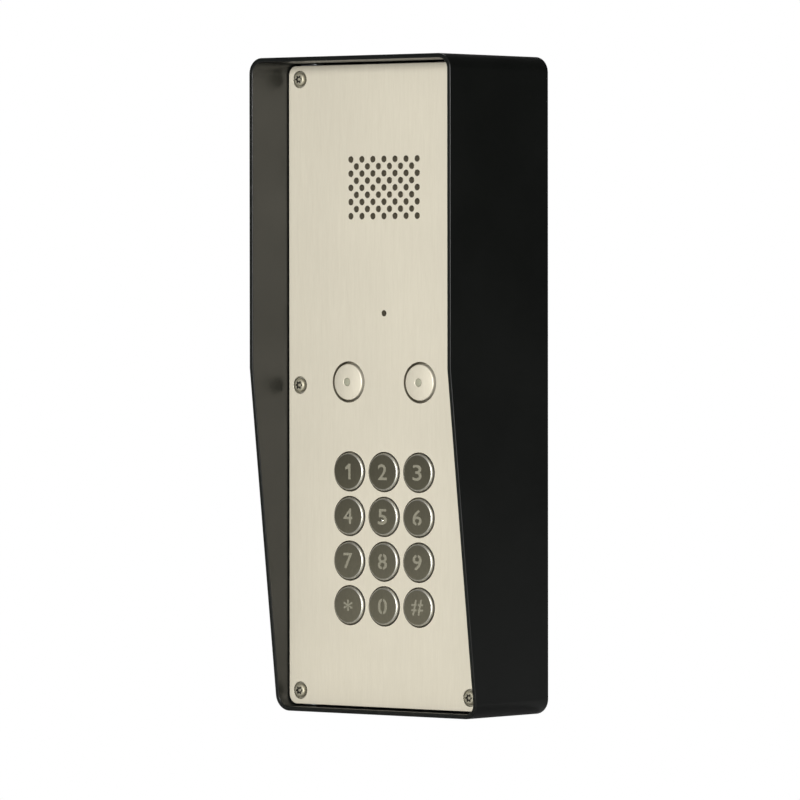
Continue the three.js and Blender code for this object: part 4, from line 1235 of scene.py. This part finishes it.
def makeKeypad():
    shape = keypadShape
    place, (halfX, halfZ) = middle("keypad_frame"), halves("keypad_frame")
    rear, front = depths("keypad_frame")
    innerX, innerZ = halfX - shape["wall"], halfZ - shape["wall"]
    studs = [(stud[0], stud[1], plateShape["screwBore"]) for stud in studPlaces()[:4]]
    bm = bmesh.new()
    slab(bm, place.x, place.z, halfX, halfZ, rear, front, shape["corner"], 0.3, studs,
         [(place.x, place.z, innerX, innerZ, shape["innerCorner"])])
    addPiece(bm, "keypad_bezel", "black_plastic", stands=["keypad_frame"])

    rear, front = depths("keypad_mat")
    base = rear + shape["matBase"]
    bm = bmesh.new()
    slab(bm, place.x, place.z, innerX - shape["seat"], innerZ - shape["seat"], rear, base,
         shape["innerCorner"], 0.25)
    addPiece(bm, "keypad_mat_sheet", "grey_silicone", stands=["keypad_mat"])
    for name in keyNames:
        key = middle(name)
        bm = bmesh.new()
        height, foot = front - base, base - shape["domeSink"]
        side = [(radius, base + share * height if share else foot) for radius, share in domeProfile]
        turnProfile(bm, [(0, foot), *side, (0, front)], key.x, key.z, 40)
        dome = addPiece(bm, f"mat_dome_{name[4:]}", "grey_silicone")
        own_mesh(dome)

    boardFront = rear - shape["seat"]
    boardRear = boardFront - shape["board"]
    bm = bmesh.new()
    slab(bm, place.x, place.z, halfX, halfZ, boardRear, boardFront, shape["corner"], 0.1, studs)
    addPiece(bm, "keypad_circuit", "circuit_board", stands=["keypad_board"])
    bm = bmesh.new()
    for name in keyNames:
        key = middle(name)
        for side in (-1, 1):
            for bar in range(3):  # interleaved contact fingers
                boxSolid(bm, key.x + side * shape["contactOut"] + (bar - 1) * shape["barPitch"], -boardFront,
                         key.z + side * shape["contactShift"], *shape["barSize"])
        ring(bm, key.x, key.z, shape["trackInner"], shape["trackOuter"], boardFront - 0.05,
             boardFront + 0.06, 0.02, 32)
    addPiece(bm, "key_contacts", "solder_gold")
    makeHeader("keypad_header", place.x, place.z + halfZ - shape["headerInset"], shape["headerX"],
               shape["headerZ"],
               boardRear - shape["headerHeight"], boardRear, -1)
    bm = bmesh.new()
    columns, rows = shape["resistorColumns"], shape["resistorRows"]
    for column in range(columns):
        for row in range(rows):
            x = place.x + (column - (columns - 1) / 2) * shape["resistorPitchX"]
            z = place.z + (row - rows / 2) * shape["resistorPitchZ"] - shape["resistorDrop"]
            boxSolid(bm, x, -(boardRear - shape["resistorDepth"]), z, *shape["resistorSize"])
    bevelSharp(bm, shape["resistorRim"], 1)
    addPiece(bm, "keypad_resistors", "ceramic")


makeKeypad()
print("keypad made")

switchShape = {"wall": 1.6, "earHalf": 3.4, "earThickness": 2.5, "rim": 0.25, "spring": 4.6, "wire": 0.35,
               "turns": 4.5, "around": 20, "seat": 0.3, "travel": 1.5, "flatShare": 0.12, "earOverlap": 0.4}


def makeCallSwitch(hand):
    name = f"call_switch_{hand}"
    shape = switchShape
    place, (outer, tall), (rear, front) = middle(name), halves(name), depths(name)
    springRear, springFront = depths(f"call_spring_{hand}")
    floor = rear + shape["wall"]
    pocket = outer - shape["wall"]
    room = shape["spring"] + shape["wire"] + 2 * shape["seat"]
    shelf = springFront - shape["travel"] - shape["seat"]
    bm = bmesh.new()
    turnProfile(bm, [
        (0, rear), (outer, rear), (outer, front), (pocket, front), (pocket, shelf), (room, shelf),
        (room, floor), (0, floor),
    ], place.x, place.z, 72)
    bevelSharp(bm, shape["rim"], 2)
    earHalf = (tall - outer) / 2 + shape["earOverlap"]
    for end in (-1, 1):
        ear(bm, place.x, place.z + end * (tall - earHalf), shape["earHalf"], earHalf,
            front - shape["earThickness"], front, place.x, place.z + end * (tall - shape["earHalf"]),
            lambda x, z, end=end: z * end > 0)
    addPiece(bm, f"switch_cup_{hand}", "black_plastic", stands=[name])

    start, end = springRear + shape["wire"], springFront - shape["wire"]
    count = int(shape["turns"] * shape["around"])
    flat, wire = shape["flatShare"], shape["wire"]  # both end turns lie flat
    points = []
    for i in range(count + 1):
        turn = 2 * pi * i / shape["around"]
        share = min(max((i / count - flat) / (1 - 2 * flat), 0), 1)
        lift = min(i, count - i, flat * count) / (flat * count) * wire
        depth = start + (end - start - 2 * wire) * share + (lift if share < 0.5 else 2 * wire - lift)
        points.append(Vector((place.x + shape["spring"] * cos(turn), -depth,
                              place.z + shape["spring"] * sin(turn))))
    bm = bmesh.new()
    roundWire(bm, points, shape["wire"], 10)
    coil = addPiece(bm, f"return_spring_{hand}", "zinc_steel", stands=[f"call_spring_{hand}"])
    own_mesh(coil)


for hand in ("left", "right"):
    makeCallSwitch(hand)
print("call switches made")

speakerShape = {"rim": 4.5, "rimThickness": 1.5, "throat": 16, "bore": 4.9, "wall": 0.9, "arms": 6,
                "armWidth": 5.5,
                "coneNeck": 6.8, "coneEdge": 18.9, "shell": 0.6, "cap": 2.1, "plate": 1.5, "clampBand": 1.6,
                "clampHalf": 4, "lip": 1, "skirt": 2.0, "skirtSlope": 1.2, "flare": (1.4, 1.6),
                "flareInner": (0.5, 2.1), "armStart": (0.5, 1.4), "armEnd": (1.4, 1.7), "armLap": 1.6}
coneShape = {"ribs": 12, "edgeDrop": 1.4, "curve": 0.9, "ribHeight": 0.14, "capShare": 0.96, "capLift": 0.5}
surroundShape = {"overlap": 0.4, "thickness": 0.35, "height": 1.1, "steps": 8}
magnetShape = {"bore": 6, "plateBore": 5, "plateInset": 1.8, "backInset": 1.2, "dimple": 2.2,
               "dimpleDepth": 0.9}


def makeSpeaker():
    shape = speakerShape
    place = middle("speaker_frame")
    x, z = place.x, place.z
    outer = halves("speaker_frame")[0]
    rear, front = depths("speaker_frame")
    inner = outer - shape["rim"]
    lip = front - shape["rimThickness"]
    wall, throat = shape["wall"], shape["throat"]
    skirtEnd, skirtInner = lip - shape["skirt"], inner - shape["skirtSlope"]
    (flareOut, flareUp), (innerOut, innerUp) = shape["flare"], shape["flareInner"]
    bm = bmesh.new()
    turnProfile(bm, [
        (inner - shape["lip"], front), (outer, front), (outer, lip), (inner, lip),
        (skirtInner, skirtEnd), (skirtInner - wall, skirtEnd),
    ], x, z, 72, True)
    turnProfile(bm, [
        (shape["bore"], rear), (throat, rear), (throat + flareOut, rear + flareUp),
        (throat + innerOut, rear + innerUp), (throat - wall, rear + wall), (shape["bore"], rear + wall),
    ], x, z, 72, True)
    bevelSharp(bm, 0.12, 2, 30)
    (startOut, startUp), (endIn, endDown) = shape["armStart"], shape["armEnd"]
    start, end = Vector((throat + startOut, -(rear + startUp), 0)), Vector((inner - endIn, -(lip - endDown),
                                                                            0))
    run = end - start
    for i in range(shape["arms"]):
        turn = Matrix.Translation((x, 0, z)) @ Matrix.Rotation(2 * pi * i / shape["arms"], 4, "Y")
        lie = Matrix.Translation((start + end) / 2) @ run.to_track_quat("X", "Y").to_matrix().to_4x4()
        arm = boxSolid(bm, 0, 0, 0, run.length + shape["armLap"], wall, shape["armWidth"])
        bmesh.ops.transform(bm, matrix=turn @ lie, verts=arm)
    addPiece(bm, "speaker_basket", "zinc_steel", stands=["speaker_frame"])

    apex, top = depths("speaker_cone")
    edge, neck, shell = shape["coneEdge"], shape["coneNeck"], shape["shell"]
    bm = bmesh.new()
    back, face = [(0, apex), (neck, apex)], []
    for i in range(1, coneShape["ribs"] + 1):
        share = i / coneShape["ribs"]
        rib = coneShape["ribHeight"] if i % 3 == 0 else 0
        depth = apex + (top - coneShape["edgeDrop"] - apex) * share ** coneShape["curve"] + rib
        back.append((neck + (edge - neck) * share, depth))
        face.append((neck + (edge - neck) * share - 0.1, depth + shell))
    dome = []
    for i in range(9):
        turn = i / 8 * pi / 2
        dome.append((neck * cos(turn) * coneShape["capShare"],
                     apex + shell + coneShape["capLift"] + shape["cap"] * sin(turn)))
    turnProfile(bm, back + face[::-1] + [(neck, apex + shell + 0.2)] + dome, x, z, 72)
    addPiece(bm, "speaker_paper_cone", "cone_paper", stands=["speaker_cone"])

    overlap, height, steps = (surroundShape[key] for key in ("overlap", "height", "steps"))
    width = halves("speaker_cone")[0] - edge + overlap
    roll = []
    for thickness, order in ((0, range(steps + 1)), (surroundShape["thickness"], range(steps, -1, -1))):
        for i in order:
            turn = pi * i / steps
            reach = width / 2 - thickness
            rise = (height - thickness * 0.3) * sin(turn)
            roll.append((edge - overlap + width / 2 - reach * cos(turn), top - height - thickness + rise))
    bm = bmesh.new()
    turnProfile(bm, roll, x, z, 72, True)
    addPiece(bm, "speaker_surround", "black_rubber")

    radius = halves("speaker_magnet")[0]
    rear, front = depths("speaker_magnet")
    plate = shape["plate"]
    bm = bmesh.new()
    ring(bm, x, z, magnetShape["bore"], radius, rear + plate, front - plate, 0.6)
    addPiece(bm, "magnet_ring", "ferrite", stands=["speaker_magnet"])
    bm = bmesh.new()
    ring(bm, x, z, magnetShape["plateBore"], radius - magnetShape["plateInset"], front - plate, front, 0.2)
    dimple, dimpleFloor = magnetShape["dimple"], rear + magnetShape["dimpleDepth"]
    back = radius - magnetShape["backInset"]
    turnProfile(bm, [(0, dimpleFloor), (dimple, dimpleFloor), (dimple, rear), (back, rear),
                     (back, rear + plate),
                     (0, rear + plate)], x, z, 72)
    bevelSharp(bm, 0.15, 2)
    addPiece(bm, "magnet_plates", "zinc_steel")

    rear, front = depths("speaker_mesh")
    radius = halves("speaker_mesh")[0]
    bm = bmesh.new()
    turnProfile(bm, [(0, rear), (radius - 0.1, rear), (radius, rear + 0.1), (radius, front - 0.1),
                     (radius - 0.1, front),
                     (0, front)], x, z, 72)
    addPiece(bm, "dust_cloth", "mesh_cloth", stands=["speaker_mesh"])
    rear, front = depths("speaker_gasket")
    bm = bmesh.new()
    ring(bm, x, z, inner + shape["lip"], outer, rear, front, 0.3)
    addPiece(bm, "speaker_rim_seal", "black_rubber", stands=["speaker_gasket"])

    rear, front = depths("speaker_clamp")
    halfX = halves("speaker_clamp")[0]
    half = shape["clampHalf"]
    bm = bmesh.new()
    ring(bm, x, z, inner + 0.3, outer + shape["clampBand"], rear, front, 0.2)
    earHalf = (halfX - outer) / 2
    for side in (-1, 1):
        ear(bm, x + side * (halfX - earHalf), z, earHalf, half, rear, front, x + side * (halfX - half), z,
            lambda cornerX, cornerZ, side=side: cornerX * side > 0)
    addPiece(bm, "clamp_ring", "zinc_steel", stands=["speaker_clamp"])


micShape = {"wall": 1.8, "seat": 0.3, "rimHeight": 0.5, "rimWidth": 0.7, "port": 1.2}


def makeMicrophone():
    place = middle("microphone")
    radius = halves("microphone")[0]
    outer = halves("microphone_boot")[0]
    rear, front = depths("microphone_boot")
    shelf = front - micShape["wall"]
    bm = bmesh.new()
    turnProfile(bm, [
        (radius + micShape["seat"], rear), (outer, rear), (outer, front), (plateShape["micHole"], front),
        (plateShape["micHole"], shelf), (radius + micShape["seat"], shelf),
    ], place.x, place.z, 56, True)
    bevelSharp(bm, 0.35, 3)
    addPiece(bm, "microphone_sleeve", "black_rubber", stands=["microphone_boot"])
    rear, front = depths("microphone")
    rim, port, inner = micShape["rimHeight"], micShape["port"], radius - micShape["rimWidth"]
    bm = bmesh.new()
    turnProfile(bm, [
        (0, rear + rim), (inner, rear + rim), (inner, rear), (radius, rear), (radius, front),
        (port, front), (port, front - rim), (0, front - rim),
    ], place.x, place.z, 56)
    bevelSharp(bm, 0.15, 2)
    addPiece(bm, "microphone_capsule", "screw_steel", stands=["microphone"])


makeSpeaker()
makeMicrophone()
print("speaker and microphone made")

nutShape = {"across": 2.75, "height": 2.4, "bore": 1.48, "chamfer": 0.25}


def makeNuts():
    half = nutShape["across"] / cos(pi / 6)
    bm = bmesh.new()
    for x, z, seatDepth in studPlaces():
        front, rear = -seatDepth, -(seatDepth - nutShape["height"])
        outline = circleLoop(bm, x, z, half - nutShape["chamfer"], front, 6)
        bore = circleLoop(bm, x, z, nutShape["bore"] + 0.2, front, 20)
        chamfer = nutShape["chamfer"]
        sheetSolid(bm, (outline, [(-chamfer, front + chamfer * 0.6), (0, rear - chamfer * 0.6),
                                  (chamfer, rear)]),
                   [(bore, [(0.2, front + 0.2), (0, rear - 0.2), (-0.2, rear)])])
    addPiece(bm, "stud_nuts", "zinc_steel", smoothAt=25)


boardShape = {
    "corner": 2, "thickness": 1.6, "headerHeight": 5,
    "chips": [(16, 46, 5.2, 4.2, 2.2), (10, -40, 6.5, 4.6, 2.4), (31, -22, 3.4, 3.4, 1.6),
              (2, -62, 4.6, 3.2, 1.8)],
    "cans": [(-33, -36, 3.1, 7), (-25, -38, 3.1, 7), (36, -34, 4, 8), (34, 8, 3.1, 6), (-36, 66, 2.5, 5)],
    "coil": (-6, -36, 4.2, 4.4),
    "ribbonRise": 7, "ribbonHeader": (9, 3), "leadHeader": (3.5, 2.5),
    "padInner": 1.9, "padOuter": 3.4, "padHalf": 0.05, "padRim": 0.02,
    "holes": 14, "holePitch": 2.54, "holeRow": 79, "holeInner": 0.35, "holeOuter": 0.8,
    "legPitch": 1.27, "legOut": 0.6, "legRise": 0.35, "legSize": (0.45, 0.6, 1.5), "legRim": 0.1,
    "chipLift": 0.15,
    "resistorColumns": 7, "resistorRows": 9, "resistorPitchX": 5.5, "resistorPitchZ": 3.2,
    "resistorMiddle": (12, -4),
    "resistorStagger": 1.1, "resistorSize": (1.7, 0.6, 0.9), "resistorRise": 0.3, "resistorRim": 0.08,
}


# How far below the speaker's and the microphone's middle their headers stand, and how far to the side
headerPlaces = {"speaker": (28, 42.5), "microphone": (-14, 12)}


def headerAt(part, node):
    aside, drop = headerPlaces[part]
    return aside, middle(node).z - drop


def makeMainBoard():
    shape = boardShape
    place, (halfX, halfZ) = middle("main_board"), halves("main_board")
    rear = depths("main_board")[0]
    top = rear + shape["thickness"]
    corners = [middle(f"board_standoff_{end}_{hand}") for end in ("top", "bottom")
               for hand in ("left", "right")]
    bm = bmesh.new()
    slab(bm, place.x, place.z, halfX, halfZ, rear, top, shape["corner"], 0.1,
         [(corner.x, corner.z, plateShape["screwBore"]) for corner in corners])
    addPiece(bm, "main_circuit", "circuit_board", stands=["main_board"])

    pad = (top - shape["padHalf"], top + shape["padHalf"], shape["padRim"])
    bm = bmesh.new()
    for corner in corners:
        ring(bm, corner.x, corner.z, shape["padInner"], shape["padOuter"], *pad, 40)
    for column in range(shape["holes"]):
        x = place.x + (column - (shape["holes"] - 1) / 2) * shape["holePitch"]
        for row in (-1, 1):
            ring(bm, x, place.z + row * shape["holeRow"], shape["holeInner"], shape["holeOuter"], *pad, 14)
    addPiece(bm, "board_pads", "solder_gold")

    bodies, legs = bmesh.new(), bmesh.new()
    for x, z, chipX, chipZ, height in shape["chips"]:
        chip = (place.x + x, place.z + z)
        slab(bodies, *chip, chipX, chipZ, top + shape["chipLift"], top + height, 0.3, 0.25)
        count = int(chipX * 2 / shape["legPitch"])
        for i in range(count):
            for row in (-1, 1):
                boxSolid(legs, chip[0] + (i - (count - 1) / 2) * shape["legPitch"], -(top + shape["legRise"]),
                         chip[1] + row * (chipZ + shape["legOut"]), *shape["legSize"])
    addPiece(bodies, "board_chips", "black_plastic")
    bevelSharp(legs, shape["legRim"], 1)
    addPiece(legs, "chip_legs", "screw_steel")

    sleeves, ends = bmesh.new(), bmesh.new()
    for x, z, radius, height in shape["cans"]:
        can = (place.x + x, place.z + z)
        turnProfile(sleeves, [
            (0, top), (radius, top), (radius, top + 0.8), (radius - 0.25, top + 1.1), (radius, top + 1.4),
            (radius, top + height - 0.3), (radius - 0.3, top + height), (radius - 0.6, top + height - 0.1),
            (0, top + height - 0.1),
        ], *can, 36)
        turnProfile(ends, [(0, top + height - 0.15), (radius - 0.7, top + height - 0.15),
                           (radius - 0.8, top + height), (0, top + height)], *can, 36)
    addPiece(sleeves, "capacitor_sleeves", "black_plastic")
    addPiece(ends, "capacitor_ends", "zinc_steel")

    x, z, radius, height = shape["coil"]
    bm = bmesh.new()
    slab(bm, place.x + x, place.z + z, radius + 0.6, radius + 0.6, top, top + height, 1.2, 0.4)
    addPiece(bm, "power_inductor", "ferrite")

    bm = bmesh.new()
    columns, rows = shape["resistorColumns"], shape["resistorRows"]
    middleX, middleZ = shape["resistorMiddle"]
    for column in range(columns):
        for row in range(rows):
            x = (column - (columns - 1) / 2) * shape["resistorPitchX"] + middleX
            stagger = (column % 2) * shape["resistorStagger"]
            z = (row - (rows - 1) / 2) * shape["resistorPitchZ"] + middleZ + stagger
            boxSolid(bm, place.x + x, -(top + shape["resistorRise"]), place.z + z, *shape["resistorSize"])
    bevelSharp(bm, shape["resistorRim"], 1)
    addPiece(bm, "board_resistors", "ceramic")

    for name, (x, z), halfSize in (
        ("ribbon_header", (0, place.z - halfZ + shape["ribbonRise"]), shape["ribbonHeader"]),
        ("speaker_header", headerAt("speaker", "speaker_frame"), shape["leadHeader"]),
        ("microphone_header", headerAt("microphone", "microphone"), shape["leadHeader"]),
    ):
        makeHeader(name, x, z, *halfSize, top, top + shape["headerHeight"])


spacerShape = {"bore": 1.75, "chamfer": 0.25, "rim": 0.2, "screwHead": 2, "screwLength": 8}


def makeBoardFixings():
    chamfer, rim = spacerShape["chamfer"], spacerShape["rim"]
    for end in ("top", "bottom"):
        for hand in ("left", "right"):
            corner = f"{end}_{hand}"
            name = f"board_standoff_{corner}"
            place, (rear, front) = middle(name), depths(name)
            radius = max(halves(name))
            bm = bmesh.new()
            outline = circleLoop(bm, place.x, place.z, radius - chamfer, -front, 6)
            bore = circleLoop(bm, place.x, place.z, spacerShape["bore"], -front, 20)
            sheetSolid(bm, (outline, [(-chamfer, -front + rim), (0, -rear - rim), (chamfer, -rear)]),
                       [(bore, [(rim, -front + rim), (0, -rear - rim), (-rim, -rear)])])
            addPiece(bm, f"hex_spacer_{corner}", "screw_steel", stands=[name], smoothAt=25)
            makeScrew(f"board_screw_{corner}", f"board_fixing_{corner}", spacerShape["screwHead"],
                      spacerShape["screwLength"])


partShape = {"ventRadius": 0.7, "ventPitch": 4, "poles": 6, "polePitch": 5, "poleHole": 1.75, "poleDepth": 3,
             "poleRise": 1.2, "slope": 2.6, "slopeDepth": 3, "relayBase": 3, "relayInset": 0.25,
             "relayLap": 0.2,
             "poleScrew": {"sink": 1.2, "radius": 1.5, "head": 1.3, "length": 2.6}}


def makeBoardParts():
    shape = partShape
    name = "processor_shield"
    place, (halfX, halfZ), (rear, front) = middle(name), halves(name), depths(name)
    vents = [(place.x + (i - 3) * shape["ventPitch"], place.z + (j - 2) * shape["ventPitch"],
              shape["ventRadius"])
             for i in range(7) for j in range(5)]
    bm = bmesh.new()
    slab(bm, place.x, place.z, halfX, halfZ, rear, front, 1.5, 0.35, vents)
    addPiece(bm, "shield_can", "zinc_steel", stands=[name])

    name = "door_relay"
    place, (halfX, halfZ), (rear, front) = middle(name), halves(name), depths(name)
    bm = bmesh.new()
    base, inset = front - shape["relayBase"], shape["relayInset"]
    slab(bm, place.x, place.z, halfX, halfZ, rear, base, 0.8, 0.3)
    slab(bm, place.x, place.z, halfX - inset, halfZ - inset, base - shape["relayLap"], front, 0.8, 0.6)
    addPiece(bm, "relay_case", "black_plastic", stands=[name])

    name = "terminal_block"
    place, (halfX, halfZ), (rear, front) = middle(name), halves(name), depths(name)
    rim = 0.25
    bm = bmesh.new()
    outline = roundedLoop(bm, place.x, place.z, halfX - rim, halfZ - rim, 0.3, -front)
    poles = []
    screw, screws = shape["poleScrew"], bmesh.new()
    for pole in range(shape["poles"]):
        x, z = place.x + (pole - (shape["poles"] - 1) / 2) * shape["polePitch"], place.z + shape["poleRise"]
        hole = circleLoop(bm, x, z, shape["poleHole"], -front, 20)
        fillLoops(bm, [followSteps(bm, hole, [(0, shape["poleDepth"] - front)])])
        poles.append(hole)
        screwInto(screws, x, z, front - screw["sink"], screw["radius"], screw["head"], screw["length"])
    steps = wallSteps(-front, -rear, rim)
    steps.insert(2, (0, shape["slopeDepth"] - front))
    sheetSolid(bm, (outline, steps), [], (), poles)
    lowEdge = place.z - halfZ + 1
    bmesh.ops.translate(bm, vec=(0, 0, shape["slope"]),
                        verts=[v for v in bm.verts if v.co.z < lowEdge and -v.co.y > front - 2 * rim])
    addPiece(bm, "terminal_body", "terminal_green", stands=[name])
    addPiece(screws, "terminal_screws", "zinc_steel", smoothAt=38)


makeNuts()
makeMainBoard()
makeBoardFixings()
makeBoardParts()
print("main board made")

leadShape = {"radius": 0.9, "turns": 2.5, "ribbonWays": 11, "ribbonPitch": 1.27, "ribbonWire": 0.4,
             "ribbonWeb": 0.3,
             "ribbonBulge": 0.6, "ribbonSteps": 26, "clear": 0.3, "tailDrop": 4.5}


# Two cores twisted round each other along a smooth route
def makeLead(node, newName, knots):
    route = routeAlong(smoothPoints(knots, 10))
    core = leadShape["radius"] / 2
    bm = bmesh.new()
    for start in (0, pi):
        twisted = []
        for i, here in enumerate(route):
            turn = start + i / len(route) * leadShape["turns"] * 2 * pi
            twisted.append(here @ Vector((core * sin(turn), core * cos(turn), 0)))
        roundWire(bm, twisted, core, 10)
    addPiece(bm, newName, "wire_grey", stands=[node])


def makeLeads():
    clear = leadShape["clear"]
    onHeader = depths("main_board")[1] + clear
    basket = depths("speaker_frame")[0]
    radius = leadShape["radius"]
    speaker, mic = middle("speaker_frame"), middle("microphone")
    tail = speaker.z - halves("speaker_magnet")[0] - leadShape["tailDrop"]
    speakerX, speakerZ = headerAt("speaker", "speaker_frame")
    micX, micZ = headerAt("microphone", "microphone")
    makeLead("speaker_lead", "speaker_pair", [
        (8, basket - radius - clear, tail), (14, basket - 3, tail - 3), (22, onHeader + 6, speakerZ + 7),
        (speakerX - 1, onHeader + 4, speakerZ + 1), (speakerX, onHeader, speakerZ),
    ])
    capsule = depths("microphone")[0]
    makeLead("microphone_lead", "microphone_pair", [
        (0, capsule - clear, mic.z), (0, capsule - 5, mic.z), (-7, onHeader + 6, micZ + 6),
        (micX + 1, onHeader + 4, micZ + 1), (micX, onHeader, micZ),
    ])
    left, right = middle("call_switch_left"), middle("call_switch_right")
    floor = depths("call_switch_left")[0] - clear
    makeLead("call_switch_lead", "call_switch_pair", [
        (left.x, floor, left.z), (left.x, floor - 3, left.z), (-8, floor - 5, left.z - 4),
        (8, floor - 5, left.z - 4), (right.x, floor - 3, left.z), (right.x, floor, left.z),
    ])


# Flat cable: wires side by side in a thin web
def makeRibbon():
    low, high = millimetres("keypad_ribbon")
    near, far = -low.y, -high.y
    wire, ways, pitch = (leadShape[key] for key in ("ribbonWire", "ribbonWays", "ribbonPitch"))
    bulge = (near - far) * leadShape["ribbonBulge"]
    points = interpolate_bezier((0, -near, high.z - wire), (0, bulge - near, high.z - wire),
                                (0, -far - bulge, low.z + wire), (0, -far, low.z + wire),
                                leadShape["ribbonSteps"])
    bm = bmesh.new()
    for i in range(ways):
        shift = Vector(((i - (ways - 1) / 2) * pitch, 0, 0))
        roundWire(bm, [point + shift for point in points], wire, 10)
    shape = Matrix.Diagonal(((ways - 1) / 2 * pitch, leadShape["ribbonWeb"] / 2, 1, 1))
    made = bmesh.ops.create_grid(bm, x_segments=1, y_segments=1, size=1, matrix=stoodUp(*points[0]) @ shape)
    web = loopOf(made["verts"], 0, 0, 1, 1)
    bmesh.ops.delete(bm, geom=list({f for v in made["verts"] for f in v.link_faces}), context="FACES_ONLY")
    sweep(bm, web, routeAlong(points))
    addPiece(bm, "flat_cable", "wire_grey", stands=["keypad_ribbon"])


makeLeads()
makeRibbon()
print("leads made")
